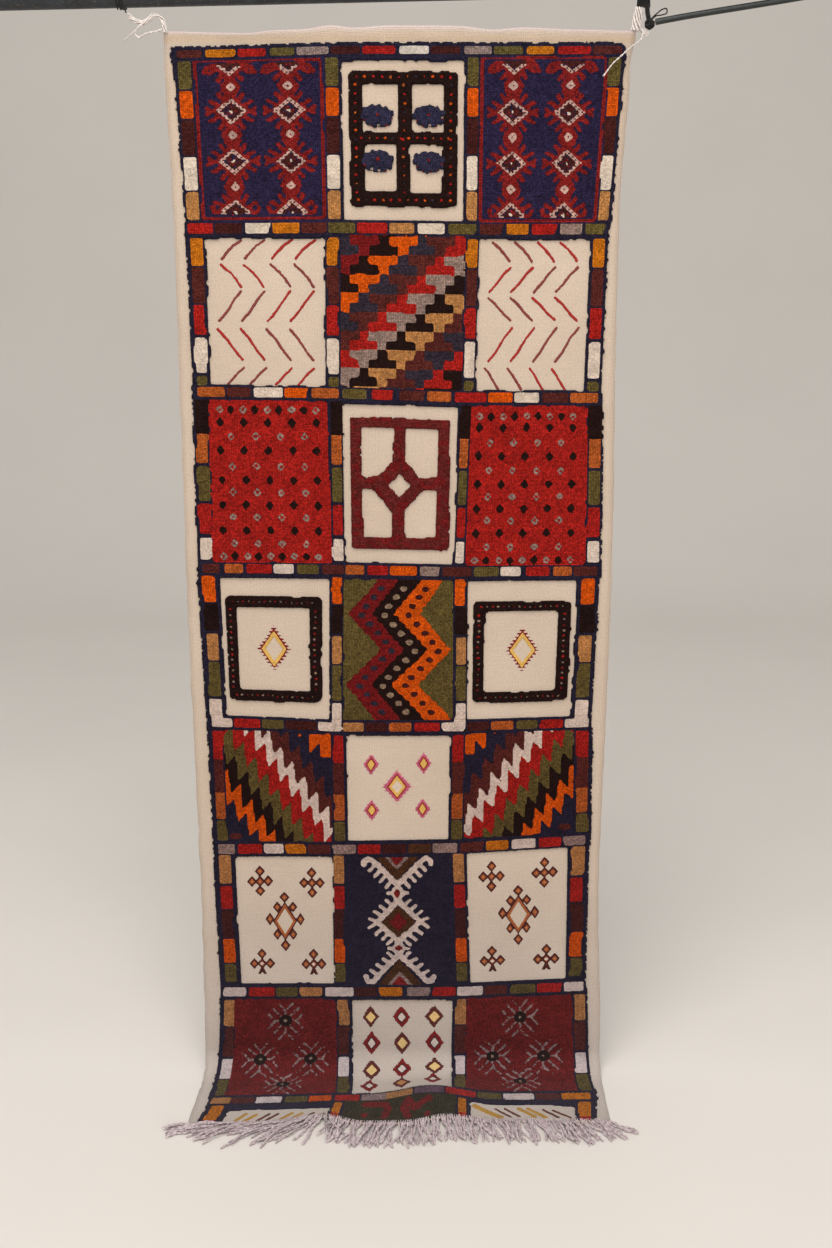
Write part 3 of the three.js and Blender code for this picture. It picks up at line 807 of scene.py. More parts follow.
# Bands of navy with a string of coloured blocks. Each block is its first and last knot and its dye.
crossBlocks = [
    [(-4, 10, "maroon"), (11, 27, "amber"), (28, 43, "red"), (45, 58, "olive"), (59, 76, "grey"),
     (77, 93, "darkBrown"), (94, 112, "red"), (114, 130, "white"), (131, 147, "darkBrown"), (149, 164,
                                                                                             "grey"),
     (165, 181, "olive"), (183, 198, "amber"), (200, 218, "red"), (219, 235, "maroon")],
    [(-4, 10, "red"), (11, 26, "darkBrown"), (28, 42, "white"), (43, 58, "amber"), (59, 73, "maroon"),
     (74, 89, "olive"), (90, 107, "red"), (108, 122, "tan"), (124, 139, "white"), (141, 157, "olive"),
     (159, 173, "maroon"), (175, 188, "amber"), (190, 205, "red"), (207, 220, "grey"), (222, 234, "olive")],
    [(-3, 13, "rust"), (14, 28, "maroon"), (30, 47, "white"), (48, 62, "orange"), (64, 80, "rust"),
     (82, 96, "olive"), (99, 112, "red"), (115, 130, "maroon"), (131, 145, "rust"), (147, 166, "red"),
     (167, 182, "orange"), (183, 199, "cream"), (200, 216, "maroon"), (217, 234, "rust")],
    [(-3, 8, "maroon"), (10, 21, "rust"), (23, 38, "red"), (39, 51, "white"), (53, 66, "olive"),
     (68, 81, "maroon"), (82, 94, "rust"), (96, 109, "red"), (110, 127, "orange"), (129, 142, "grey"),
     (143, 161, "maroon"), (162, 177, "olive"), (178, 191, "white"), (193, 207, "red"), (209, 220, "rust"),
     (221, 235, "maroon")],
    [(-3, 10.7, "white"), (11.2, 28.5, "red"), (29.5, 43.6, "olive"), (44.4, 64.4, "darkBrown"),
     (65.2, 80, "white"), (81.3, 94.4, "tan"), (95.2, 109, "darkBrown"), (110, 124.4, "rust"),
     (125.8, 142.8, "red"), (143.6, 157.6, "white"), (159, 173, "darkBrown"), (174, 188.5, "rust"),
     (190, 203.6, "olive"), (204.4, 219.4, "red"), (220.2, 235.6, "white")],
    [(-2.8, 8.6, "grey"), (9.6, 26.2, "red"), (27.3, 40.3, "white"), (41.4, 55, "amber"),
     (56, 71.4, "maroon"),
     (72.6, 88, "grey"), (89.2, 104.3, "red"), (104.8, 121.8, "darkBrown"), (122.4, 136.8, "oliveBrown"),
     (138, 154.4, "grey"), (156.2, 170.8, "maroon"), (172.2, 186, "amber"), (188, 203, "white"),
     (204.4, 219.4, "red"), (220.6, 234, "grey")],
    [(-4.3, 11, "white"), (13, 31, "red"), (32.2, 47.4, "olive"), (48.4, 64, "tan"), (66, 85.3, "white"),
     (86.3, 100.2, "darkBrown"), (101.3, 116.5, "amber"), (118.4, 133.8, "grey"), (135.4, 150.2, "red"),
     (151.2, 167.8, "white"), (168.6, 184.4, "maroon"), (186.2, 203.4, "olive"), (204, 220.8, "red"),
     (222.3, 235.6, "white")],
    [(-4.4, 8.2, "tan"), (8.6, 23.4, "maroon"), (24.2, 41, "white"), (41.8, 56.2, "olive"),
     (56.8, 71.8, "orange"),
     (73.2, 89.6, "red"), (90.4, 105.8, "grey"), (106.4, 123, "tan"), (123.8, 143.4, "mauve"),
     (143.8, 162.8, "red"), (163.8, 178.8, "olive"), (180.4, 199, "white"), (199.6, 215, "maroon"),
     (215.6, 234, "amber")],
]
longBlocks = [
    [(5, 22.8, "olive"), (23.7, 42, "orange"), (42.6, 66, "darkBrown"), (67, 89, "white"),
     (90.3, 108.7, "tan")],
    [(5.5, 24.9, "amber"), (26.2, 50.8, "maroon"), (52.4, 73.3, "red"), (75.4, 99.9, "white"),
     (102.4, 108.6, "olive")],
    [(5, 28.6, "black"), (29.3, 50.3, "rust"), (52.4, 77, "olive"), (79.2, 101.4, "red"),
     (103.6, 120, "white")],
    [(4.5, 25, "orange"), (26.2, 47, "black"), (49, 69.7, "tan"), (71, 98.5, "olive"),
     (99.7, 120.5, "white")],
    [(5.5, 27.6, "red"), (28.2, 53.6, "maroon"), (54.4, 74.8, "rust"), (75.6, 91.8, "olive")],
    [(5, 28.9, "tan"), (31, 50.8, "red"), (51.8, 75.8, "darkBrown"), (77, 98.3, "orange"),
     (99.2, 115, "olive")],
    [(7.2, 30, "tan"), (30.6, 57, "maroon"), (59, 77, "white"), (78, 98.6, "olive")],
    [(6.6, 25.6, "amber"), (26.4, 31, "red")],
]
# Where the blocks of each long band begin and end, and the navy's outer edges, for the eight rows of panels
blockSides = [
    ([-3.8, -3.4, -4.3, -3.4, -3, -3.1, -3.5, -2.6], [3.1, 3.5, 2.4, 4, 3.6, 4.8, 2.8, 5.6]),
    ([-3, -3.7, -2.2, -3.2, -2.8, -4.2, -2.6, -2.8], [3.9, 2.7, 4, 2.7, 4, 2.5, 4.5, 2.2]),
    ([-2.8, -2.3, -3.3, -2.3, -3.7, -2.9, -3.8, -2.4], [3.1, 4, 2, 3.8, 3.3, 4.2, 2.8, 3.4]),
    ([-2.4, -3.9, -2.3, -4.6, -3.3, -5.6, -2.3, -4.6], [4, 2.9, 5.3, 3.3, 4.4, 2.5, 5, 3]),
]
navyEdges = {"left": [-6, -6, -6.3, -6.8, -6.5, -6.8, -7, -6], "right": [6.3, 5.2, 6.8, 6, 7, 5.8, 7, 6.8]}
# Where the ground shows in the flat panels: row, column, left, top, right and bottom
openPanels = [
    (0, 1, 5.8, 7.4, 72.3, 109.1), (1, 0, 5.3, 6.6, 71.7, 108.3), (1, 2, 5.3, 6.6, 71.2, 108.3),
    (2, 1, 5.3, 6.8, 72.3, 121), (3, 0, 6.8, 7, 72.2, 113), (3, 2, 5.3, 7, 69.6, 113), (4, 1, 6.2, 7, 71.4,
                                                                                        92.2),
    (5, 0, 8, 7, 72.2, 116.8), (5, 2, 5.8, 6, 69, 116.8), (6, 1, 6.6, 8.2, 71, 99.6),
]
openEnds = [(0, [(9.4, 12.9), (30, 11.6), (46, 11.9), (72.2, 14), (72.2, 34), (9.4, 34)]),
            (2, [(5.8, 7.8), (18, 9), (30, 9.4), (52, 8.8), (70.3, 11.8), (70.3, 34), (5.8, 34)])]


def bandSide(values, y):
    keys = []
    doubled = []
    for top, bottom, value in zip(crossRows[:-1], crossRows[1:], values):
        keys += [top + 8, bottom - 8]
        doubled += [value, value]
    return np.interp(y, keys, doubled)


# Bands and blocks keep to whole rows of knots
def wholeRows():
    rows, columns = pileChart["cells"].shape
    return pileChart["plainX"], np.repeat(chartBox["top"] + np.arange(rows)[:, None] + 0.5, columns, axis=1)


# The navy has a tufted outer edge, flares at its upper left and is rounded at its upper right
navyBand = {"tufts": 0.7, "flare": 1.8, "flareRows": (-2, 26), "top": -4.8, "roundFrom": 229.5,
            "roundHalf": (7.5, 5.2), "crossHalf": 14, "longHalf": 12}


def paintBands():
    x, y = wholeRows()
    cells = pileChart["cells"]
    tufts = navyBand["tufts"] * softNoise(*x.shape, 1.4, 90)
    flare = navyBand["flare"] * (1 - smooth(y, *navyBand["flareRows"]))
    leftEnd = tufts + bandSide(navyEdges["left"], y) - flare
    rightEnd = tufts + bandColumns[-1] + bandSide(navyEdges["right"], y)
    halfWide, halfHigh = navyBand["roundHalf"]
    rounded = np.hypot(np.maximum(x - navyBand["roundFrom"], 0) / halfWide, np.minimum(y, 0) / halfHigh) < 1
    across = (x > leftEnd) & (x < rightEnd) & (rounded | (y > 0))
    for row in crossRows[:8]:
        near = np.abs(y - row) < navyBand["crossHalf"]
        cells[across & (y + tufts > navyBand["top"]) & near] = dyeNumber["navy"]
    for column in bandColumns:
        cells[across & (np.abs(x - column) < navyBand["longHalf"]) & (y > 0)] = dyeNumber["navy"]


def openPanelsUp():
    for row, column, left, top, right, bottom in openPanels:
        x, y, put = panelView(pileChart, row, column)
        put(roundBox(x, y, left, top, right, bottom, 1.0), None)
    for column, corners in openEnds:
        x, y, put = panelView(pileChart, 7, column)
        put(inside(x, y, corners), None)


# Blocks of the cross bands reach above and below their row of knots. Black blocks are a little wider.
blockShape = {"corner": 0.6, "gap": 0.3, "above": 4.5, "aboveFirst": 2.3, "below": 3.4, "belowLater": 4.4,
              "laterFrom": 500, "blackLeft": 0.36, "blackRight": 0.9}


def paintBlocks():
    x, y = wholeRows()
    cells = pileChart["cells"]
    corner = blockShape["corner"]
    for column, (lefts, rights) in zip(bandColumns, blockSides):
        left = column + bandSide(lefts, y)
        right = column + bandSide(rights, y)
        for row, blocks in zip(crossRows, longBlocks):
            for first, last, dye in blocks:
                black = dye == "black"
                mask = roundBox(x, y, left - blockShape["blackLeft"] * black, row + first,
                                right + blockShape["blackRight"] * black, row + last, corner)
                cells[mask] = dyeNumber[dye]
    for row, blocks in zip(crossRows, crossBlocks):
        above = blockShape["aboveFirst" if row == 0 else "above"]
        below = blockShape["below" if row < blockShape["laterFrom"] else "belowLater"]
        for first, last, dye in blocks:
            mask = roundBox(x, y, first, row - above, last - blockShape["gap"], row + below, corner)
            cells[mask] = dyeNumber[dye]


# First row, sides: two strings of lozenges with fingers on navy, inside a thin red line
def paintFingers(column, edge, centres, bigRows, smallRows):
    x, y, put = panelView(pileChart, 0, column)
    plainX, plainY, put = panelView(pileChart, 0, column, True)
    left, top, right, bottom = edge
    put(roundBox(x, y, 4, 4, 74.6, 111, 1.2), "denim")
    line = roundBox(plainX, plainY, left, top, right, bottom, 1.6)
    put(line & ~roundBox(plainX, plainY, left + 1.7, top + 1.5, right - 1.7, bottom - 1.6, 0.8), "brick")
    field = roundBox(plainX, plainY, left + 2.4, top + 2.2, right - 2.4, bottom - 2.2, 0.8)
    field = field & (y < bigRows[-1] + 1.7)
    for cx in centres:
        put(field & (np.abs(x - cx) < 3.1) & (y > 13) & (y < 101), "brick")
        for cy in bigRows:
            u = np.abs(x - cx)
            v = np.abs(y - cy)
            reach = u + v
            for lean in (-8.7, -3.1, 3.5, 10.8)[:3 if cy in (bigRows[0], bigRows[-1]) else 4]:
                curve = 0.012 * (reach - 8) ** 2 * np.sign(lean)
                room = field & (reach < 19.2) & (reach > 5) & (u < 14.4)
                put(room & (np.abs(u - v - lean - curve) < 1.85), "brick")
            put(field & (u / 8.2 + v / 8.3 < 1.3), "brick")
        for side in (-1, 1):
            upper = [(cx + side * dx, bigRows[0] + dy) for dx,
                     dy in ((6, 3.2), (9, 1.9), (11.8, 2.6), (13.6, 6.0))]
            lower = [(cx + side * dx, bigRows[-1] + dy) for dx,
                     dy in ((6, 2.6), (9, 2.9), (11.4, 1.4), (12.8, -3.4))]
            put(field & (lineDistance(x, y, upper) < 1.2), "brick")
            put(field & (lineDistance(x, y, lower) < 1.2), "brick")
        for cy in smallRows:
            put(field & (lozenge(x, y, cx, cy, 6.3, 7.2) < 1), "brick")
    speckle = np.random.default_rng(60 + column).uniform(0, 1, x.shape)
    rows, columns = np.indices(x.shape)
    everySecond = (rows % 2 == 1) & (columns % 2 == 1)
    shown = field & (y > bigRows[0] + 1.8)
    for cx in centres:
        put(field & ~shown & (np.abs(x - cx) < 6), "darkBrown")
        for cy in bigRows:
            reach = lozenge(plainX, plainY, cx, cy, 8.2, 8.3)
            put(shown & (reach < 1.06), "dusty")
            put(shown & (reach < 1.06) & everySecond, "plum")
            put(shown & (reach < 0.7), "darkBrown")
            put(shown & (reach < 0.7) & (speckle < 0.2), "denim")
            put(shown & (reach < 0.42) & (reach > 0.24) & (speckle > 0.7), "brick")
            put(shown & (oval(plainX, plainY, cx, cy, 0.9, 1.1) < 1) & (bigRows[0] < cy), "cream")
        for cy in smallRows:
            put(shown & (lozenge(plainX, plainY, cx, cy, 3.0, 3.4) < 1), "dusty")
            put(shown & (oval(plainX, plainY, cx, cy, 0.7, 0.8) < 1), "plum")


def dotsAlong(x, y, put, points, gap, half, inks, start=0):
    number = start
    for (ax, ay), (bx, by) in zip(points[:-1], points[1:]):
        count = max(int(round(math.hypot(bx - ax, (by - ay) * 0.8) / gap)), 1)
        for step in range(count):
            share = (step + 0.5) / count
            cx = ax + (bx - ax) * share
            cy = ay + (by - ay) * share
            put(oval(x, y, cx, cy, *half) < 1, inks[number % len(inks)])
            number += 1


# First row, middle: a black window frame with coloured dots and four flowers
windowPanes = [(17.2, 21.7, 36, 51.6), (43.8, 21.7, 61.2, 51.8), (18, 60.5, 35.2, 90.4),
               (42.8, 60.3, 60.4, 90.8)]
flowerLobes = [(-6.4, -3.6), (-2.9, -5.0), (0.9, -5.2), (4.5, -4.3), (7.3, -1.7), (-7.4, -0.2), (-5.2, 3.8),
               (-1.6, 5.4), (2.8, 5.1), (6.3, 3.2)]
flowerSpots = [(-3.4, 6.0), (0.6, 6.8), (4.8, 5.9), (-7.0, 2.9), (7.8, 1.6)]


def paintWindow():
    x, y, put = panelView(pileChart, 0, 1)
    plainX, plainY, put = panelView(pileChart, 0, 1, True)
    put(roundBox(x, y, 9.5, 13.3, 69, 100.3, 2.8), "black")
    for pane in windowPanes:
        put(roundBox(x, y, *pane, 0.8), None)
    inks = ["red", "orange", "red", "red", "rust", "red", "orange", "slate"]
    bars = [[(11.5, 17.2), (67, 17.2)], [(14, 56.1), (66, 56.1)], [(11.5, 96), (67, 96)],
            [(13, 19.5), (13, 94)], [(39.4, 19.5), (39.4, 94)], [(65.3, 19.5), (65.3, 94)]]
    for number, bar in enumerate(bars):
        dotsAlong(plainX, plainY, put, bar, 4.5, (0.95, 1.1), inks, number * 3)
    for cx in (25.2, 52.9):
        for cy in (42.0, 71.0):
            put(oval(plainX, plainY, cx, cy, 7.2, 4.9) < 1, "flowerBlue")
            for dx, dy in flowerLobes:
                put(oval(plainX, plainY, cx + dx, cy + dy, 1.9, 2.4) < 1, "flowerBlue")
            put(oval(plainX, plainY, cx, cy - 1, 1.2, 1.4) < 1, "brick")
            for dx, dy in flowerSpots:
                put(oval(plainX, plainY, cx + dx, cy + dy, 0.7, 0.8) < 1, "brick")


# Second row, middle: T-shaped blocks that tile in slanting rows
tiles = {
    "origin": (3.7, 4.6), "cell": (5.38, 6.47),
    "upright": ["crimson", "orange", "maroon", "grey", "tan", "slate", "black"],
    "inverted": ["slate", "black", "slate", "red", "black", "maroon", "red", "black"],
}


def paintTiles():
    x, y, put = panelView(pileChart, 1, 1)
    field = roundBox(x, y, 4, 4.5, 73.7, 109, 1.0)
    column = np.floor((x - tiles["origin"][0]) / tiles["cell"][0]).astype(int)
    row = np.floor((y - tiles["origin"][1]) / tiles["cell"][1]).astype(int)
    place = column - 1 + 2 * (row // 2)
    group = place // 4
    part = place % 4
    upright = np.where(row % 2 == 0, part < 3, part == 1)
    ownGroup = np.where((row % 2 == 1) & (part == 0), group - 1, group)
    for number, dye in enumerate(tiles["upright"]):
        put(field & upright & (group == number), dye)
    for number, dye in zip(range(-1, 7), tiles["inverted"]):
        put(field & ~upright & (ownGroup == number), dye)


# Third row, sides: small black and grey lozenges on red, in rows by turns
redFields = [
    {"column": 0, "left": (3.2, 3.2), "right": (72.7, 74.3), "black": (9.7, 14.1), "grey": (16.2, 14.25),
     "rows": [11.8, 20.8, 30.5, 40.5, 52, 61.8, 70.8, 79.9, 88.7, 98.3, 108, 117.4]},
    {"column": 2, "left": (2.9, 2.9), "right": (73.7, 73.7), "black": (8.3, 14.2), "grey": (14.9, 14.4),
     "rows": [12.8, 20.8, 31.6, 41.4, 52, 61.8, 71, 79.9, 88.7, 97.8, 108, 118]},
]


def paintRedField(one):
    x, y, put = panelView(pileChart, 2, one["column"])
    plainX, plainY, put = panelView(pileChart, 2, one["column"], True)
    left = np.interp(y, [0, 127], one["left"])
    right = np.interp(y, [0, 127], one["right"])
    put(roundBox(x, y, left, 5.3, right, 122, 2.2), "red")
    for number, cy in enumerate(one["rows"]):
        mixed = number in (0, 11)
        if mixed or number % 2 == 1:
            start, pitch = one["grey" if mixed else "black"]
            for cx in np.arange(start, 70.5, pitch):
                put(lozenge(plainX, plainY, cx, cy, 2.6, 3.9) < 1, "black")
        if mixed or number % 2 == 0:
            start, pitch = one["black" if mixed else "grey"]
            for cx in np.arange(start, 70.5, pitch):
                put(lozenge(plainX, plainY, cx, cy, 2.5, 3.5) < 1, "grey")
                put(lozenge(plainX, plainY, cx, cy, 1.2, 1.5) < 1, "red")


# Third row, middle: a maroon frame with bars that meet at a white lozenge
kitePanes = [
    [(15.7, 22.8), (34.3, 22.8), (34.3, 45.8), (25.7, 57), (18.2, 58.9), (15.7, 56)],
    [(41.5, 22.8), (61, 22.8), (61, 57), (50.7, 57.8), (42.4, 46.4)],
    [(15.7, 67), (21.5, 67), (34, 83.3), (34, 102), (17.3, 102)],
    [(42.4, 82), (52.7, 67.4), (61, 66.4), (61, 101.4), (43.5, 102), (42, 97.2)],
]


def paintKite():
    x, y, put = panelView(pileChart, 2, 1)
    put(roundBox(x, y, 9, 15.5, np.interp(y, [15, 111], [68, 69.6]), 111.2, 2.6), "sienna")
    streaks = softNoise(*x.shape, 3.2, 61) > 0.22
    put(roundBox(x, y, 9, 15.5, 68.6, 111.2, 2.6) & streaks, "darkRed")
    for pane in kitePanes:
        put(inside(x, y, pane), None)
    put(lozenge(x, y, 38.2, 63.9, 6.8, 7.9) < 1, None)


# Fourth row, sides: a black frame with light and red dots, and a lozenge in flat weave
frames = [
    {"column": 0, "outer": (9.3, 20, 67.7, 100), "inner": (16, 29, 60, 92), "lozenge": (38, 60.3)},
    {"column": 2, "outer": (8.3, 22.2, 67.3, 99.6), "inner": (15.3, 30, 58.9, 92), "lozenge": (38.2, 60.1)},
]


def paintFrame(one):
    x, y, put = panelView(pileChart, 3, one["column"])
    plainX, plainY, put = panelView(pileChart, 3, one["column"], True)
    left, top, right, bottom = one["outer"]
    sag = 1.4 * bump(x - 38, 16)
    put(roundBox(x, y - sag * (y > 60), left, top, right, bottom, 3.0), "black")
    put(roundBox(x, y, *one["inner"], 1.6), None)
    innerLeft, innerTop, innerRight, innerBottom = one["inner"]
    leftLine = (left + innerLeft) / 2 - 0.3
    rightLine = (right + innerRight) / 2 - 0.3
    topLine = (top + innerTop) / 2
    lowLine = (bottom + innerBottom) / 2 + 0.4
    inks = ["red", "grey", "brick", "greyCream"]
    for points, half in (([(leftLine, topLine), (rightLine, topLine)], (0.75, 1.0)),
                         ([(leftLine, lowLine), (rightLine, lowLine)], (0.75, 1.0)),
                         ([(leftLine, topLine + 4), (leftLine, lowLine - 4)], (1.05, 1.05)),
                         ([(rightLine, topLine + 4), (rightLine, lowLine - 4)], (1.05, 1.05))):
        dotsAlong(plainX, plainY, put, points, 3.3, half, inks)
    x, y, put = panelView(flatChart, 3, one["column"], True)
    cx, cy = one["lozenge"]
    reach = lozenge(x, y, cx, cy, 8.4, 14.6)
    put((reach > 0.98) & (reach < 1.27) & (np.floor(y / 1.3) % 2 == 0), "crimson")
    put(reach < 1.06, "crimson")
    put(reach < 0.94, "yellow")
    put(reach < 0.62, None)


# Fourth row, middle: three zigzags side by side on olive, with a string of dots along each
zigzagRows = [5, 8.3, 31.5, 58.8, 85.3, 111]
zigzagEdges = [(24.8, 24.8, 7, 27.7, 5.7, 23.2), (37.3, 37.3, 22.3, 41.8, 21.5, 39.8),
               (51.8, 51.8, 35.7, 57.3, 34, 54.3), (65.7, 65.7, 52.3, 71.5, 50.7, 71.5)]


def paintZigzags():
    x, y, put = panelView(pileChart, 3, 1)
    plainX, plainY, put = panelView(pileChart, 3, 1, True)
    field = roundBox(x, y, 4.3, 6.2, 73, 112.8, 1.0)
    put(field, "olive")
    lines = [np.interp(y, zigzagRows, edge) + 0.8 * teeth(y, 4.6) for edge in zigzagEdges]
    dyesHere = [("crimson", "slate"), ("black", "greyCream"), ("orange", "darkBrown")]
    for number, (dye, spots) in enumerate(dyesHere):
        put(field & (x > lines[number]) & (x < lines[number + 1]), dye)
    for number, (dye, spots) in enumerate(dyesHere):
        for step in range(15):
            cy = 12.8 + 6.7 * step
            cx = sum(np.interp(cy, zigzagRows, zigzagEdges[side]) for side in (number, number + 1)) / 2
            put(field & (oval(plainX, plainY, cx, cy, 2.4, 2.2) < 1), spots)


# Fifth row, sides: flames that fall to the right, mirrored on the other side. Each flame's edge falls
# steeply and rises again in a slant, from the tip given.
flames = [("navy", 65.4, 12.7), ("maroon", 60.2, 26.2), ("white", 55.8, 39), ("red", 52.0, 49.6),
          ("olive", 45.6, 61), ("black", 40.0, 72), ("orange", 27.8, 70.4), ("navy", 23.8, 81.7)]
flameStep = {"across": 7.2, "down": 11.8, "rise": 8.0, "steep": 0.18}


def flameEdge(x, tipX, tipY):
    phase = (x - tipX) / flameStep["across"]
    step = np.floor(phase)
    share = phase - step
    drop = np.minimum(share / flameStep["steep"], 1) * (flameStep["down"] + flameStep["rise"])
    climb = np.maximum(share - flameStep["steep"], 0) / (1 - flameStep["steep"]) * flameStep["rise"]
    return tipY + step * flameStep["down"] + drop - climb


def paintFlames(column, flipped):
    x, y, put = panelView(pileChart, 4, column)
    field = roundBox(x, y, 4.2, 5.5, 72.7, 92.8, 1.2)
    if flipped:
        field = roundBox(x, y, 3.8, 5.5, 72.0, 91.5, 1.2)
        x = 76 - x
        y = y + 2.0
    put(field, "orange")
    put(field & (y > 24.4), "navy")
    for dye, tipX, tipY in flames:
        put(field & (y > flameEdge(x, tipX, tipY)), dye)
    put(field & (oval(x, y, 9, 88.6, 4, 3) < 1), "maroon")


# Sixth row, middle: two crossed spines with teeth on navy, round triangles and a lozenge
spineArms = [
    [(15.9, 13.2), (16.2, 10.2), (18.6, 7.9), (21.4, 9.6), (37.4, 30.4)],
    [(37.4, 44), (24, 62.4), (37.6, 79.6)],
    [(37.8, 90.6), (20.4, 115), (17.4, 114.6), (15.9, 110.2)],
]
spineTeeth = [
    (22.9, 13.2, 19.1, 18.6), (26.2, 17.8, 22.6, 23.4), (29.6, 22.6, 26, 28.2), (33.2, 27.4, 30, 32.6),
    (34, 48.4, 29.6, 43.4), (30.6, 53, 25.6, 48.2), (27.2, 57.6, 22.3, 53.2), (24.4, 62.4, 19, 59.4),
    (24.4, 62.4, 18.9, 67.6), (27.6, 67.6, 22.8, 73), (31, 72.4, 26.4, 77.8), (34.4, 77, 29.9, 82),
    (34.9, 94.4, 30.6, 89.4), (31.6, 99, 27, 94.9), (28, 104, 23.4, 99.8), (24.2, 109.4, 19.4, 104.9),
]
spineMiddle = 37.6


def paintSpines():
    x, y, put = panelView(pileChart, 5, 1)
    plainX, plainY, put = panelView(pileChart, 5, 1, True)
    field = roundBox(x, y, 3, 5, 74, 118, 1.0)
    put(field, "navy")
    for edge, tip in ((7, 27), (118, 95.6)):
        for wide, reach, dye in ((14, 1, "oliveBrown"), (8.2, 0.53, "grey"), (5.2, 0.38, "brick")):
            high = (tip - edge) * reach
            share = np.clip((plainY - edge) / high, 0, 1)
            put(field & (np.abs(plainX - spineMiddle) < wide * (1 - share)) & (share > 0) & (share < 1), dye)
    for turn in (False, True):
        for arm in spineArms:
            line = mirrored(arm, spineMiddle) if turn else arm
            put(field & (lineDistance(x, y, line) < 1.75), "white")
        for ax, ay, bx, by in spineTeeth:
            line = mirrored([(ax, ay), (bx, by)], spineMiddle) if turn else [(ax, ay), (bx, by)]
            put(field & (lineDistance(plainX, plainY, line) < 1.2), "white")
    for cy in (37.4, 85.6):
        put(lozenge(x, y, spineMiddle, cy, 5.0, 9.4) < 1, "white")
        put(lineDistance(plainX, plainY, [(30.6, cy), (44.4, cy)]) < 1.0, "white")
    put(oval(plainX, plainY, 37.3, 37.5, 2.0, 2.6) < 1, "brick")
    put(roundBox(plainX, plainY, 36.5, 34, 38.4, 41.6, 0.6), "brick")
    put(roundBox(plainX, plainY, 34.9, 84.4, 40.6, 86.8, 0.8), "brick")
    put(roundBox(plainX, plainY, 37.2, 82.2, 38.3, 87.4, 0.5), "brick")
    put(lozenge(x, y, 37.5, 62.4, 11.3, 14.1) < 1, "oliveBrown")
    put(lozenge(x, y, 37.5, 62.6, 5.6, 8.6) < 1, "crimson")


# Seventh row, sides: grey stars with forked rays on dark red
starForks = [[(-11.5, -5.9), (-7.4, 0), (-11.5, 6.5)], [(-4.6, -14.6), (0, -8.6), (4.8, -15.2)],
             [(11.5, -5.9), (7.6, 0), (11.7, 6.5)], [(-4.8, 16.8), (0, 10), (5.2, 17)]]
starStems = [[(-7.4, 0), (-3, 0)], [(7.6, 0), (3, 0)], [(0, -8.6), (0, -4)], [(0, 10), (0, 4)],
             [(-3, -4), (-8.4, -10.8)], [(3, -4), (8.6, -10.8)], [(-3, 4.6), (-9, 12.6)], [(3, 4.6),
                                                                                           (9.2, 13)]]


def paintStars(column, right, centres):
    x, y, put = panelView(pileChart, 6, column)
    plainX, plainY, put = panelView(pileChart, 6, column, True)
    field = roundBox(x, y, 3.3, 6.4, right, 99, 1.2)
    put(field, "darkRed")
    spotty = np.random.default_rng(70 + column).uniform(0, 1, x.shape)
    for cx, cy, size in centres:
        for line in starForks + starStems:
            moved = [(cx + dx, cy + dy * size) for dx, dy in line]
            put(field & (lineDistance(plainX, plainY, moved) < 0.78) & (spotty < 0.78), "grey")
        put(oval(plainX, plainY, cx, cy, 4.2, 4.9 * size) < 1, "black")
        put(oval(plainX, plainY, cx, cy, 1.2, 1.4) < 1, "greyCream")


# Last strip, middle: dark olive-brown with red hooks and spots
lastHooks = [([(17, 9.5), (23, 9.5), (29, 10), (31.5, 16), (30, 24)], 2.4),
             ([(56.5, 9.5), (48.5, 18), (43.5, 9), (41.5, 16), (44.5, 25)], 2.4)]


def paintLastPile():
    x, y, put = panelView(pileChart, 7, 1)
    put(roundBox(x, y, 3.6, 4.6, 73.4, 40, 1.0), "moss")
    for line, half in lastHooks:
        put(lineDistance(x, y, line) < half, "crimson")
    for cx, cy in ((17.6, 22.6), (56.4, 25.6)):
        put(oval(x, y, cx, cy, 2.0, 3.0) < 1, "crimson")


# Second row, sides: herringbone strokes in wrapped weave
combStrokes = [
    {"column": 0, "pitches": (0, 13, 28, 41.3),
     "lines": [[(14.3, 20.1), (17.6, 15.2), (21.2, 10.9), (25.3, 7.8)],
               [(13.5, 24.3), (18.8, 29.8), (21.8, 34.4), (24.3, 39.3)],
               [(11, 63.2), (15.4, 57.4), (20.6, 48.2), (24.3, 42.6)], [(10.2, 69), (15.4, 76.2),
                                                                        (19.6, 84.1), (23.7, 90.3)],
               [(14.7, 108), (17.4, 104.8), (21, 99.7), (24.3, 96.2)]]},
    {"column": 2, "pitches": (0, 13.5, 27, 40.5),
     "lines": [[(12.8, 8.3), (17.6, 12.8), (20.8, 17), (23.2, 20.8)],
               [(24, 24.9), (20, 29.3), (15.8, 35.8), (11.7, 41)],
               [(11.2, 45.1), (15.6, 49.2), (20.6, 56), (24.8, 60.3)], [(26.2, 65.5), (21.2, 72.6),
                                                                        (16.4, 82.5), (12.5, 88.3)],
               [(10.7, 93.5), (14, 98.3), (19.2, 108)]]},
]


def paintStrokes(one):
    x, y, put = panelView(flatChart, 1, one["column"])
    for row, line in enumerate(one["lines"]):
        dull = (0, 1) if row % 2 == 0 else (2, 3)
        for number, shift in enumerate(one["pitches"]):
            moved = [(px + shift, py) for px, py in line]
            put(lineDistance(x, y, moved) < 0.95, "rose" if number in dull else "madder")


# Fifth row, middle: a large and four small lozenges with a pink edge of ticks
pinkLozenges = [
    (37.9, 47.8, (9.2, 13.4), (6.5, 10.6), (5.4, 9.0), (3.4, 5.4)),
    (21.4, 29.7, (5.2, 8.8), (3.3, 5.9), (2.3, 4.5), None),
    (55, 29.1, (5.2, 8.8), (3.3, 5.9), (2.3, 4.5), None),
    (21.5, 67.2, (5.2, 8.8), (3.3, 5.9), (2.3, 4.5), None),
    (54.5, 66.6, (5.2, 8.8), (3.3, 5.9), (2.3, 4.5), None),
]


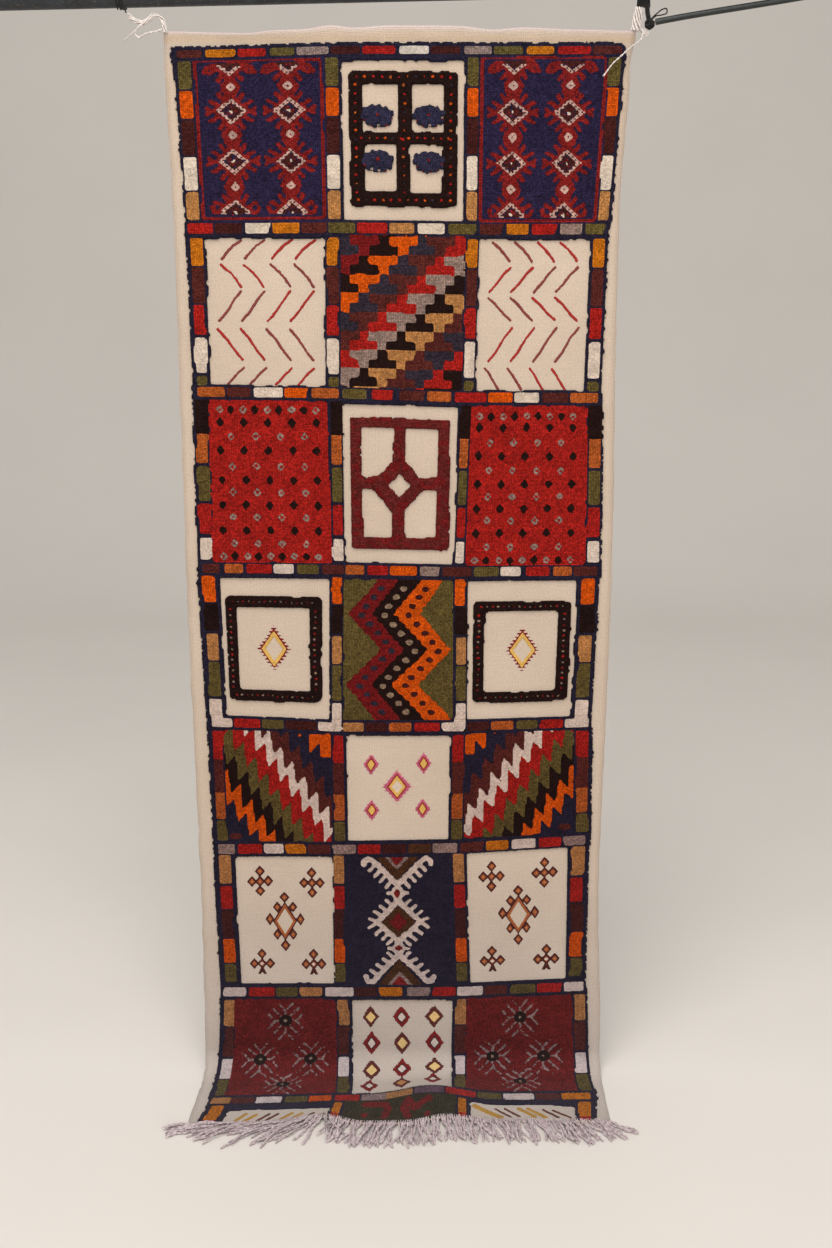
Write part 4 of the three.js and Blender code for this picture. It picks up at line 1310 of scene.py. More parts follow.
def paintPinkLozenges():
    x, y, put = panelView(flatChart, 4, 1, True)
    for cx, cy, halo, edge, core, heart in pinkLozenges:
        reach = lozenge(x, y, cx, cy, *halo)
        put((reach < 1.16) & (np.floor(y / 1.4) % 2 == 0), "palePink")
        put(reach < 0.98, "pink")
        put(lozenge(x, y, cx, cy, *edge) < 1, "brick")
        put(lozenge(x, y, cx, cy, *core) < 1, "yellow")
        if heart:
            put(lozenge(x, y, cx, cy, *heart) < 1, "cream")


# Sixth row, sides: crosses of small lozenges and a large lozenge with eight round it
crossPanels = [
    {"column": 0, "centre": (39.5, 62.4), "crosses": [(23.6, 28), (58.3, 29.4), (22.9, 99.4), (58.3, 99.9)]},
    {"column": 2, "centre": (38.1, 60.2), "crosses": [(21.2, 26.6), (54.8, 25.8), (20.7, 98.9),
                                                      (56.2, 99.7)]},
]
roundCentre = [(0, -20.4, 3.4, 5.0), (-5.1, -12.3, 3.1, 4.8), (5.4, -12.2, 3.1, 4.8),
               (-10.2, -1.9, 3.1, 5.9),
               (10.4, -1.5, 3.1, 5.9), (-5.3, 11.4, 2.9, 5.2), (5.3, 11.4, 2.9, 5.2), (-0.1, 21, 3.4, 5.3)]


def smallLozenge(x, y, put, cx, cy, halfWide=3.5, halfHigh=5.0):
    put(lozenge(x, y, cx, cy, halfWide * 1.06, halfHigh * 1.06) < 1, "darkBrown")
    put(lozenge(x, y, cx, cy, halfWide * 0.54, halfHigh * 0.54) < 1, "tawny")
    put(lozenge(x, y, cx, cy, 0.7, 1.0) < 1, "tan")


def paintCrosses(one):
    x, y, put = panelView(flatChart, 5, one["column"], True)
    for number, (cx, cy) in enumerate(one["crosses"]):
        put(lineDistance(x, y, [(cx - 4, cy), (cx + 4, cy)]) < 0.8, "darkBrown")
        put(lineDistance(x, y, [(cx, cy - 7), (cx, cy + 6)]) < 0.9, "darkBrown")
        for dx, dy in ((0, 0), (-5.3, 0), (5.4, -0.2), (0, -8.6)):
            smallLozenge(x, y, put, cx + dx, cy + dy)
        if number < 2:
            smallLozenge(x, y, put, cx, cy + 8.2)
        else:
            put(inside(x, y, [(cx - 0.9, cy + 3), (cx + 0.9, cy + 3), (cx + 3.2, cy + 9.4),
                              (cx - 3.2, cy + 9.4)]),
                "darkBrown")
            put(lozenge(x, y, cx, cy + 9.6, 1.0, 1.8) < 1, None)
            put(lozenge(x, y, cx, cy, 1.3, 1.6) < 1, "cream")
    cx, cy = one["centre"]
    for dx, dy, halfWide, halfHigh in roundCentre:
        smallLozenge(x, y, put, cx + dx, cy + dy, halfWide, halfHigh)
    for halfWide, halfHigh, dye in ((8.5, 17.2, "darkBrown"), (7.4, 15, "tawny"), (5.7, 12, "ochre"),
                                    (5.1, 10.8, None)):
        put(lozenge(x, y, cx, cy, halfWide, halfHigh) < 1, dye)


# Seventh row, middle: three columns of lozenges with stepped edges: place, size, edge and heart
steppedLozenges = [
    (18.6, 23.6, 5.2, 9.6, "straw"), (38.6, 23.6, 5.6, 9.6, "white"), (59.6, 23.3, 5.8, 9.8, "straw"),
    (18.9, 47.4, 5.5, 10.6, "white"), (38.9, 47.3, 5.5, 10.4, "straw"), (60.1, 47, 5.9, 10.6, "white"),
    (18.9, 70.9, 6.1, 8.8, "straw"), (38.6, 70, 6.3, 8.4, "white"), (60, 68.5, 6.4, 7.4, "straw"),
    (17.7, 88, 5.6, 7.8, "white"), (38.5, 87.2, 5.8, 8.4, "tan"), (58.9, 83.8, 5.8, 8.6, "white"),
]


def paintRowsOfLozenges():
    x, y, put = panelView(flatChart, 6, 1, True)
    stepX = np.floor(x / 0.9) * 0.9 + 0.45
    stepY = np.floor(y / 1.6) * 1.6 + 0.8
    for cx, cy, halfWide, halfHigh, kind in steppedLozenges:
        edge = "crimson" if kind == "white" else "maroon"
        put(lozenge(stepX, stepY, cx, cy, halfWide, halfHigh) < 1.1, edge)
        if kind == "white":
            put(lozenge(x, y, cx, cy, halfWide * 0.64, halfHigh * 0.62) < 1, "darkBrown")
            put(lozenge(x, y, cx, cy, halfWide * 0.46, halfHigh * 0.45) < 1, "white")
        else:
            put(lozenge(x, y, cx, cy, halfWide * 0.6, halfHigh * 0.55) < 1, kind)


# Last strip, sides: slanting strokes by twos: column, dye, half width, start and end
lastStrokes = [
    (0, "ochre", 1.15, (21.4, 17.1), (14.3, 30.6)), (0, "ochre", 1.15, (27.3, 18.6), (19.8, 30.6)),
    (0, "brown", 0.9, (35.3, 17.6), (29.3, 27)), (0, "brown", 0.9, (40.8, 18.1), (33.5, 28.5)),
    (0, "ochre", 1.2, (49.3, 19.2), (42.7, 28)), (0, "ochre", 1.2, (55.6, 21.8), (51.4, 27)),
    (0, "brown", 1.0, (63.5, 23.3), (58.1, 30.1)), (0, "brown", 0.9, (69.8, 26), (62.3, 32)),
    (2, "ochre", 1.7, (8.6, 12.4), (24.4, 25.9)), (2, "brown", 0.8, (21.1, 14), (30.7, 25.4)),
    (2, "brown", 0.8, (26.9, 13.4), (36.1, 24.4)), (2, "ochre", 1.2, (35.7, 13.4), (45.3, 24.4)),
    (2, "ochre", 1.1, (41.1, 13.4), (52.3, 25.4)), (2, "brown", 0.8, (50.3, 14.5), (59.8, 25.4)),
    (2, "brown", 0.8, (56.5, 15.5), (67.3, 26)),
]


def paintLastStrokes():
    for column, dye, half, start, end in lastStrokes:
        x, y, put = panelView(flatChart, 7, column)
        put(lineDistance(x, y, [start, end]) < half * 1.35, dye)


paintBands()
openPanelsUp()
paintFingers(0, (4.5, 5, 72.6, 108.8), (23.2, 54.2), (7, 37.6, 70.2, 103.6), (22.1, 52.8, 86.8))
paintFingers(2, (4.2, 4.6, 73.8, 109.8), (22.8, 54.2), (7.4, 39.6, 71.8, 105.3), (22.7, 55.2, 88.5))
paintWindow()
paintTiles()
for redField in redFields:
    paintRedField(redField)
paintKite()
for oneFrame in frames:
    paintFrame(oneFrame)
paintZigzags()
paintFlames(0, False)
paintFlames(2, True)
paintSpines()
paintStars(0, 73.2, [(38.4, 25.5, 1), (21.5, 59.8, 0.95), (55.7, 59.8, 0.95), (38.3, 85.2, 0.78)])
paintStars(2, 73.6, [(38.7, 25.3, 1), (20.8, 60.3, 0.95), (54.2, 61.0, 0.95), (38.2, 85.1, 0.78)])
paintLastPile()
paintBlocks()
for oneStroke in combStrokes:
    paintStrokes(oneStroke)
paintPinkLozenges()
for onePanel in crossPanels:
    paintCrosses(onePanel)
paintRowsOfLozenges()
paintLastStrokes()
print("charts painted:", int((pileChart["cells"] > 0).sum()), "knots")


# The ground weave: one closed sheet with a slightly rounded selvedge. Its back has finer cells, because the
# backs of the knots show their dyes there.
groundSheet = {"columns": 60, "hemRows": (0, 2.5, 6, 11, 17), "hangRows": 156, "groundRows": 35,
               "finerDown": 2,
               "finerAcross": 3, "edge": 0.55, "pucker": 0.35, "wave": 1.3, "roll": 1.3, "inward": 0.52}


# The dyes that show on the back: averaged over the knots round each place
def backDyes(across, down):
    columns, rows = knotsAt(across, down)
    total = np.zeros((*columns.shape, 3))
    for right, low in ((0, 0), (0.4, 0.3), (-0.4, 0.3), (0.4, -0.3), (-0.4, -0.3)):
        found = []
        for chart in (pileChart, flatChart):
            fine = chart["fine"]
            row = np.floor((rows + low - chartBox["top"]) * fine).astype(int)
            column = np.floor((columns + right - chartBox["left"]) * fine).astype(int)
            height, width = chart["cells"].shape
            kept = (row >= 0) & (row < height) & (column >= 0) & (column < width)
            found.append(np.where(kept, chart["cells"][row.clip(0, height - 1), column.clip(0, width - 1)],
                                  0))
        total += dyeTable[np.where(found[0] > 0, found[0], found[1])]
    return total / 5, found[0] > 0


def makeGround():
    hang = np.concatenate([groundSheet["hemRows"], np.linspace(24, hangLength, groundSheet["hangRows"] + 1)])
    lying = np.linspace(hangLength, cloth["length"], groundSheet["groundRows"] + 1)
    downs = np.concatenate([hang, lying[1:]])
    wave = softNoise(len(downs), 2, 2.0, 31) * groundSheet["wave"]

    def places(finerDown, finerAcross):
        finer = np.interp(np.arange((len(downs) - 1) * finerDown + 1) / finerDown, np.arange(len(downs)),
                          downs)
        left = readTable(edges, "down", finer, "left") + np.interp(finer, downs, wave[:, 0])
        right = readTable(edges, "down", finer, "right") + np.interp(finer, downs, wave[:, 1])
        shares = np.linspace(0, 1, groundSheet["columns"] * finerAcross + 1)
        across = left[:, None] + (right - left)[:, None] * shares[None, :]
        edge = np.ones(across.shape)
        edge[:, [0, -1]] = groundSheet["edge"]
        return across, np.broadcast_to(finer[:, None], across.shape), edge

    frontAcross, frontDown, frontEdge = places(1, 1)
    backAcross, backDown, backEdge = places(groundSheet["finerDown"], groundSheet["finerAcross"])
    pucker = groundSheet["pucker"] * softNoise(*frontAcross.shape, 2, 8)
    half = cloth["ground"] / 2
    roll = groundSheet["roll"] * bump(frontDown - 3, 2.5)
    front = clothPoints(frontAcross, frontDown, half * (1 + frontEdge) + (pucker + roll) * frontEdge)
    back = clothPoints(backAcross, backDown, half * (1 - backEdge))
    frontNumber = np.arange(frontAcross.size).reshape(frontAcross.shape)
    backNumber = np.arange(backAcross.size).reshape(backAcross.shape) + frontAcross.size
    frontQuads = quadsOf(frontNumber)
    backQuads = quadsOf(backNumber)[:, ::-1]
    walls = []
    for frontLine, backLine, finer, flip in (
            (frontNumber[:, 0], backNumber[:, 0], groundSheet["finerDown"], 1),
            (frontNumber[:, -1], backNumber[:, -1], groundSheet["finerDown"], -1),
            (frontNumber[0], backNumber[0], groundSheet["finerAcross"], -1),
            (frontNumber[-1], backNumber[-1], groundSheet["finerAcross"], 1)):
        count = len(frontLine) - 1
        ring = [frontLine[:-1]] + [backLine[step::finer][:count] for step in range(finer)]
        walls.append(np.column_stack(ring + [backLine[finer::finer], frontLine[1:]])[:, ::flip])
    faces = [frontQuads, backQuads] + walls
    points = np.concatenate([front.reshape(-1, 3), back.reshape(-1, 3)])
    made = meshObject("rug_ground", points, faces, groundWool)
    made.data.materials.append(backKnots)
    across = np.concatenate([frontAcross.reshape(-1), backAcross.reshape(-1)])
    down = np.concatenate([frontDown.reshape(-1), backDown.reshape(-1)])
    isBack = np.arange(len(across)) >= frontAcross.size
    flatMap = np.stack([(across + 445) / 1800 + 0.5 * isBack, 1 - down / (cloth["length"] + 10)], axis=-1)
    mapCorners(made, "OFBake", flatMap)
    mapCorners(made, "weave", np.stack([across, down], axis=-1) * 0.001)
    tone = np.array(linearColour(dyes["cream"]))
    loops = np.concatenate([group.reshape(-1) for group in faces])
    colours = np.tile(tone, (len(loops), 1))
    inward = []
    for corners in (across[backQuads], down[backQuads]):
        inward.append(corners + (corners.mean(axis=1, keepdims=True) - corners) * groundSheet["inward"])
    backColours, knotted = backDyes(*inward)
    draw = np.random.default_rng(6)
    backColours = backColours * (0.95 + draw.uniform(-0.1, 0.1, (len(backQuads), 1, 1)))
    colours[frontQuads.size:frontQuads.size + backQuads.size] = backColours.reshape(-1, 3)
    # Front and back colours take the painted light, shade and dust down the cloth
    dyeCorners(made, withPaintedLightAndDust(colours, down[loops]))
    materials = np.zeros(len(made.data.polygons), np.int32)
    materials[len(frontQuads):len(frontQuads) + len(backQuads)] = knotted.any(axis=1)
    made.data.polygons.foreach_set("material_index", materials)
    return made


# Pile: one nub for each knot, over a grid whose corners all knots share. Where the pile ends, the corners
# go down into the ground weave.
# The foot values are painted shade at each nub's foot, the light value a painted highlight at its tip
pile = {"valley": 6.6, "tip": 8.6, "sunk": 1.8, "lean": 0.2, "tipLean": 0.28, "spread": 0.36,
        "paintedFootShade": (0.26, 0.6), "light": 1.38, "under": 1.0, "paleSpread": 0.4}


# Each nub has its own tone, with painted shade at its foot and a painted highlight at its tip: the corners of
# its four triangles
def pileColours(cells, wanted, rowStart, down):
    draw = np.random.default_rng(100 + rowStart)
    patch = 1 + 0.1 * softNoise(*cells.shape, 5, 200 + rowStart)
    pale = smooth(dyeTable[cells][wanted].mean(axis=1), 0.12, 0.5)
    own = draw.uniform(-pile["spread"], pile["spread"],
                       cells.shape)[wanted] * (1 - (1 - pile["paleSpread"]) * pale)
    knots = dyeTable[cells][wanted] * (patch[wanted] * (1 + own))[:, None]
    # Painted shade on the foot corners of each nub, less on pale dyes
    paintedFootShade = draw.uniform(*pile["paintedFootShade"], len(knots)) * (1 - pale) + 0.93 * pale
    footShadeTipLight = np.ones((len(knots), 4, 3))
    footShadeTipLight[:, :, :2] = paintedFootShade[:, None, None]
    # Painted highlight on each nub's tip
    footShadeTipLight[:, :, 2] = (pile["light"] * (1 - pale) + 0.97 * pale)[:, None]
    places = np.repeat(down[wanted], 12)
    colours = (knots[:, None, None, :] * footShadeTipLight[..., None]).reshape(-1, 3)
    # Painted light down the pile, then the painted light, shade and dust of the whole cloth
    return withPaintedLightAndDust(colours * factorsAt(pilePaintedLight, places), places)


# Closes a raised patch. Along its rim, which lies inside the ground weave, the hidden floor takes the
# face's own
# corners. Elsewhere the floor has corners of its own, offset higher: boxes of cells, joined by their
# outlines.
# Where a patch is cut from the next one, a low wall joins face and floor.
def patchFloor(wanted, full, offset, longest):
    rows, columns = wanted.shape
    number = np.arange((rows + 1) * (columns + 1)).reshape(rows + 1, columns + 1)
    below = np.where(full, number + offset, number).reshape(-1)
    beyond = np.pad(wanted, 1)
    a, b, c, d = number[:-1, :-1], number[1:, :-1], number[1:, 1:], number[:-1, 1:]
    keep = np.ones(number.shape, bool)
    keep[1:-1, 1:-1] = ~full[1:-1, 1:-1]
    groups = {}
    for downShift, acrossShift, one, two in ((0, -1, b, a), (0, 1, d, c), (1, 0, c, b), (-1, 0, a, d)):
        others = beyond[1 + downShift:1 + downShift + rows, 1 + acrossShift:1 + acrossShift + columns]
        free = wanted & ~others
        for first, last in zip(one[free], two[free]):
            ring = [first, last] + [below[end] for end in (last, first) if below[end] != end]
            if len(ring) > 2:
                groups.setdefault(len(ring), []).append(np.array(ring))
    left = wanted.copy()
    boxes = []
    for row in range(rows):
        most = longest(row)
        for column in np.flatnonzero(left[row]):
            if not left[row, column]:
                continue
            wide = 1
            while wide < most and column + wide < columns and left[row, column + wide]:
                wide += 1
            high = 1
            while high < most and row + high < rows and left[row + high, column:column + wide].all():
                high += 1
            left[row:row + high, column:column + wide] = False
            keep[[row, row, row + high, row + high], [column, column + wide, column, column + wide]] = True
            boxes.append((row, column, high, wide))
    for row, column, high, wide in boxes:
        ring = [number[row, column:column + wide], number[row:row + high, column + wide],
                number[row + high, column + wide:column:-1], number[row + high:row:-1, column]]
        ring = np.concatenate(ring)
        ring = below[ring[keep.reshape(-1)[ring]]]
        groups.setdefault(len(ring), []).append(ring)
    return [np.array(group) for group in groups.values()]


# A patch's floor keeps to small boxes where the cloth bends
def boxLimit(rowStart, fine):
    return lambda row: (16 if rowStart + row / fine < 725 else 4)


# Draws the stepped outlines of the dyes smoother: a corner with two outline edges moves towards the middle
# of
# their far ends. Single knots keep their corners.
def smoothOutlines(cells, x, y, share, rounds):
    framed = np.pad(cells, 1)
    upright = framed[1:-1, :-1] != framed[1:-1, 1:]
    level = framed[:-1, 1:-1] != framed[1:, 1:-1]
    alone = upright[:, :-1] & upright[:, 1:] & level[:-1] & level[1:]
    free = np.ones(x.shape, bool)
    for rows, columns in ((slice(None, -1), slice(None, -1)), (slice(1, None), slice(None, -1)),
                          (slice(None, -1), slice(1, None)), (slice(1, None), slice(1, None))):
        free[rows, columns] &= ~alone
    count = np.zeros(x.shape)
    count[:-1] += upright
    count[1:] += upright
    count[:, :-1] += level
    count[:, 1:] += level
    moving = share * ((count == 2) & free)
    for _ in range(rounds):
        moved = []
        for places in (x, y):
            total = np.zeros(x.shape)
            total[:-1] += upright * places[1:]
            total[1:] += upright * places[:-1]
            total[:, :-1] += level * places[:, 1:]
            total[:, 1:] += level * places[:, :-1]
            moved.append(places + moving * (total / 2 - places))
        x, y = moved
    return x, y


def makePile(name, first, last):
    cells = pileChart["cells"]
    rows = cells.shape[0]
    columns = cells.shape[1]
    top = first - chartBox["top"]
    bottom = last - chartBox["top"]
    filled = np.zeros((rows + 2, columns + 2), bool)
    filled[1:-1, 1:-1] = cells > 0
    filled[-1] = filled[-2]
    full = filled[:-1, :-1] & filled[1:, :-1] & filled[:-1, 1:] & filled[1:, 1:]
    draw = np.random.default_rng(77)
    cornerX = chartBox["left"] + np.arange(columns + 1)[None, :] + draw.uniform(-1, 1,
                                                                                full.shape) * pile["lean"]
    cornerY = chartBox["top"] + np.arange(rows + 1)[:, None] + draw.uniform(-1, 1, full.shape) * pile["lean"]
    swell = softNoise(rows + 1, columns + 1, 7, 19) * 0.45
    cornerLift = np.where(full, pile["valley"] + swell + draw.uniform(-0.4, 0.4, full.shape), pile["sunk"])
    cornerX, cornerY = smoothOutlines(cells, cornerX, cornerY, 0.5, 2)
    tipX, tipY = ((places[:-1, :-1] + places[1:, :-1] + places[:-1, 1:] + places[1:, 1:]) / 4
                  + draw.uniform(-1, 1, cells.shape) * pile["tipLean"] for places in (cornerX, cornerY))
    tipLift = pile["tip"] + swell[:-1, :-1] + draw.uniform(-0.7, 0.7, cells.shape)
    part = slice(top, bottom)
    corner = slice(top, bottom + 1)
    cornerPlaces = knotPlaces(cornerX[corner], cornerY[corner])
    cornerPoints = clothPoints(*cornerPlaces, cornerLift[corner])
    floorPoints = clothPoints(*cornerPlaces, pile["under"])
    tipPlaces = knotPlaces(tipX[part], tipY[part])
    tipPoints = clothPoints(*tipPlaces, tipLift[part])
    wanted = cells[part] > 0
    number = np.arange(cornerPoints.shape[0] * cornerPoints.shape[1]).reshape(cornerPoints.shape[:2])
    a, b = number[:-1, :-1][wanted], number[1:, :-1][wanted]
    c, d = number[1:, 1:][wanted], number[:-1, 1:][wanted]
    apex = np.arange(wanted.sum()) + 2 * number.size
    triangles = np.stack([np.column_stack([a, b, apex]), np.column_stack([b, c, apex]),
                          np.column_stack([c, d, apex]), np.column_stack([d, a, apex])], axis=1).reshape(-1,
                                                                                                         3)
    points = np.concatenate([cornerPoints.reshape(-1, 3), floorPoints.reshape(-1, 3), tipPoints[wanted]])
    flatCorner = np.stack(np.meshgrid(np.linspace(0, 1, columns + 1),
                                      np.linspace(0.97, 0, last - first + 1)), axis=-1)
    flatTip = np.stack(np.meshgrid((np.arange(columns) + 0.5) / columns,
                                   0.97 - 0.97 * (np.arange(last - first) + 0.5) / (last - first)), axis=-1)
    flatMap = np.concatenate([flatCorner.reshape(-1, 2)] * 2 + [flatTip[wanted]])
    colours = pileColours(cells[part], wanted, first, tipPlaces[1])
    floor = patchFloor(wanted, full[corner], number.size, boxLimit(first, 1))
    return closedPatch(name, points, [triangles], floor, flatMap, colours, pileWool)


# Puts a patch's face and its hidden floor together. The floor and walls take a narrow strip of the bake map.
def closedPatch(name, points, face, floor, flatMap, colours, material):
    shown = sum(group.size for group in face)
    loops = np.concatenate([group.reshape(-1) for group in face + floor])
    used, numbers = np.unique(loops, return_inverse=True)
    groups = []
    start = 0
    for group in face + floor:
        groups.append(numbers[start:start + group.size].reshape(group.shape))
        start += group.size
    made = meshObject(name, points[used], groups, material)
    places = flatMap[loops]
    places[shown:, 1] = 0.985 + 0.01 * places[shown:, 1]
    layer = made.data.uv_layers.new(name="OFBake")
    layer.data.foreach_set("uv", places.astype(np.float32).reshape(-1))
    hidden = np.tile(np.array(linearColour(dyes["cream"])), (len(loops) - shown, 1))
    dyeCorners(made, np.concatenate([colours, hidden]))
    return made


# Brocade: low stitches on the ground weave, two cells a knot each way
brocade = {"lift": 4.1, "sunk": 2.7, "under": 1.6, "spread": 0.12}


def makeBrocade(name, row):
    fine = flatChart["fine"]
    cells = flatChart["cells"]
    top = (crossRows[row] - chartBox["top"]) * fine
    bottom = (crossRows[row + 1] - chartBox["top"]) * fine
    part = cells[top:bottom]
    wanted = part > 0
    rows, columns = part.shape
    filled = np.zeros((rows + 2, columns + 2), bool)
    filled[1:-1, 1:-1] = wanted
    full = filled[:-1, :-1] & filled[1:, :-1] & filled[:-1, 1:] & filled[1:, 1:]
    wanted = wanted & (full[:-1, :-1] | full[1:, :-1] | full[:-1, 1:] | full[1:, 1:])
    draw = np.random.default_rng(300 + row)
    x = chartBox["left"] + np.arange(columns + 1)[None, :] / fine + draw.uniform(-0.08, 0.08, full.shape)
    y = chartBox["top"] + (top + np.arange(rows + 1)[:, None]) / fine + draw.uniform(-0.08, 0.08, full.shape)
    lift = np.where(full, brocade["lift"] + draw.uniform(-0.2, 0.2, full.shape), brocade["sunk"])
    places = knotPlaces(*smoothOutlines(part, x, y, 0.5, 2))
    points = [clothPoints(*places, height).reshape(-1, 3) for height in (lift, brocade["under"])]
    number = np.arange(full.size).reshape(full.shape)
    quads = np.column_stack([number[:-1, :-1][wanted], number[1:, :-1][wanted],
                             number[1:, 1:][wanted], number[:-1, 1:][wanted]])
    flatMap = np.stack(np.meshgrid(np.linspace(0, 1, columns + 1), np.linspace(0.97, 0, rows + 1)), axis=-1)
    flatMap = np.concatenate([flatMap.reshape(-1, 2)] * 2)
    spread = 1 + draw.uniform(-brocade["spread"], brocade["spread"], wanted.sum())
    # Brocade colours take the painted light, shade and dust down the cloth
    colours = withPaintedLightAndDust(np.repeat(dyeTable[part[wanted]] * spread[:, None], 4, axis=0),
                        np.repeat(places[1][:-1, :-1][wanted], 4))
    floor = patchFloor(wanted, full, number.size, boxLimit(crossRows[row], fine))
    return closedPatch(name, np.concatenate(points), [quads], floor, flatMap, colours, motifWool)


ground = makeGround()
print("ground woven")
clothPieces = []
pileEdges = [chartBox["top"]] + [row - 6 for row in crossRows[1:8]] + [crossRows[8]]
for number, (first, last) in enumerate(zip(pileEdges[:-1], pileEdges[1:])):
    clothPieces.append(makePile(f"rug_pile_{number + 1}", first, last))
print("pile knotted")
for row in (1, 3, 4, 5, 6, 7):
    clothPieces.append(makeBrocade(f"rug_brocade_{row + 1}", row))
print("brocade worked")

# Fringe: thick cords of two twisted plies, combed to the left at the left and to the right at the right
combing = {
    "across": [-439, -400, -330, -250, -182, -160, -60, 60, 240, 370, 430],
    "swing": [-84, -82, -76, -66, -56, -6, -18, 4, 14, 28, 60],
    "long": [58, 84, 112, 116, 114, 74, 80, 78, 78, 80, 80],
}
fringe = {"tassels": 196, "plyThick": 3.4, "ring": 1.35, "points": 15, "turns": 40, "sides": 5,
          "flatness": 0.9,
          "rootDown": 5.5, "rootLift": 6.8, "bunch": 25, "pull": 12, "mostSwing": 1.38}


def makeFringe():
    draw = np.random.default_rng(41)
    left = float(readTable(edges, "down", cloth["length"], "left"))
    right = float(readTable(edges, "down", cloth["length"], "right"))
    count = fringe["points"]
    along = np.linspace(0, 1, count)
    paths = []
    for tassel in range(fringe["tassels"]):
        middle = left + 6 + (right - left - 12) * (tassel + draw.uniform(0.25, 0.75)) / fringe["tassels"]
        wander = 0.4 * math.sin(middle / 57)
        gather = fringe["pull"] * math.sin(2 * math.pi * (middle / fringe["bunch"] + wander))
        swing = math.radians(float(readTable(combing, "across", middle, "swing")) - gather + draw.normal(0,
                                                                                                         7))
        long = float(readTable(combing, "across", middle, "long")) * draw.uniform(0.84, 1.04)
        root = clothPoints(np.array(middle), np.array(cloth["length"] - fringe["rootDown"]),
                           np.array(fringe["rootLift"])) * 1000
        curl = draw.uniform(-0.45, 0.45)
        waves = draw.uniform(0.05, 0.3) * np.sin(along * draw.uniform(4, 9) + draw.uniform(0, 6))
        bend = swing * smooth(along, -0.3, 0.3) + curl * along ** 1.5 + waves * smooth(along, 0, 0.4)
        bend = np.clip(bend, -fringe["mostSwing"], fringe["mostSwing"])
        step = long / (count - 1)
        x = root[0] + np.concatenate([[0], np.cumsum(np.sin(bend[:-1]) * step)])
        y = root[1] - np.concatenate([[0], np.cumsum(np.cos(bend[:-1]) * step)])
        layer = draw.uniform(0, 1) ** 1.4 * 12.0
        arch = np.abs(np.sin(along * math.pi * draw.uniform(0.7, 1.4)))
        widths = np.interp(along, [0, 0.06, 0.14, 0.82, 0.93, 1], [0.62, 0.8, 0.95, 1, 1.12, 0.55])
        widths = widths * draw.uniform(0.84, 1.1)
        rest = (fringe["ring"] + fringe["plyThick"] / 2) * widths + 0.2 - poleHeight
        z = np.maximum(root[2] + (rest + layer * arch - root[2]) * smooth(along, 0.02, 0.34), rest)
        turn = 2 * math.pi * (along * long * 0.001 * fringe["turns"] * draw.uniform(0.8,
                                                                                    1.2) + draw.uniform(0, 1))
        for ply in (0, math.pi):
            ring = fringe["ring"] * widths
            sideways = np.cos(turn + ply) * ring
            paths.append((np.column_stack([x + np.cos(bend) * sideways, y + np.sin(bend) * sideways,
                                           z + np.sin(turn + ply) * ring]), widths))
    return strandPiece("fringe_strands", paths, fringeYarn, fringe["plyThick"], fringe["flatness"], 150,
                       fringe["sides"])


fringePiece = makeFringe()
print("fringe twisted")

# Left tie: white yarn from the corner, with a slack loop and a free end, and black thread on the pole
leftTie = {
    "bundle": [(-429, -2, 2115), (-430, -2, 2128), (-436, -2.5, 2139), (-447, -3, 2144), (-458, -3, 2137),
               (-470, -3, 2132), (-484, -3, 2137), (-496, -3, 2146)],
    "loop": [(-431, -2, 2122), (-444, -5, 2117), (-462, -6, 2113), (-478, -6, 2107), (-483, -6, 2113),
             (-476, -6, 2124), (-466, -4, 2132)],
    "free": [(-468, -4, 2132), (-478, -7, 2122), (-490, -8, 2111), (-503, -8, 2101)],
}
leftWrap = {"at": -514, "turns": 3, "pitch": 4.6, "thick": 3, "stepsPerTurn": 14}
leftWrapTail = [(-500.6, -0.2, 2156), (-500, -1.6, 2152.6), (-498, -2.6, 2149)]


def makeLeftTie():
    paths = pliedYarns(leftTie["bundle"], 60, 3.0, 16, 6, 0.3, 0.35, 3)
    paths += pliedYarns(leftTie["loop"], 50, 0.8, 60, 2, 0.0, 0.2, 4)
    paths += pliedYarns(leftTie["free"], 24, 0.6, 60, 2, 0.8, 0.3, 5)
    paths = [(line, widths * (1.0 if number < 8 else 0.7)) for number, (line, widths) in enumerate(paths)]
    tie = strandPiece("tie_left_yarns", paths, tieYarn, 3.1, 0.72, 160, 7)
    finishPiece(tie, "tie_yarn", "tie_left")
    turn = winding(**leftWrap)
    tail = smoothLine(lowered(leftWrapTail), 8)
    wrap = strandPiece("wrap_left_thread", [(turn, np.ones(len(turn))), (tail, np.ones(8))], blackThread,
                       leftWrap["thick"], 0.85, 60, 8)
    finishPiece(wrap, "black_thread", "wrap_left")
    return tie


# Right tie: a twisted column of white yarn, a tuft under it and one long free end over the rug's face
rightTie = {
    "column": [(430, -2, 2118.6), (430.5, -2.5, 2130), (432, -3, 2144), (433, -3, 2157.4)],
    "tuft": [(434, -3, 2124), (441, -4, 2116), (447, -5, 2112)],
    "loops": [(-70, 9), (-40, 11), (-15, 12), (8, 13), (35, 9)],
    "free": [(435, -6, 2124), (440, -11, 2116), (438, -13, 2103), (418, -20, 2087), (402, -20, 2073),
             (387, -20, 2060), (370, -19.5, 2038)],
}


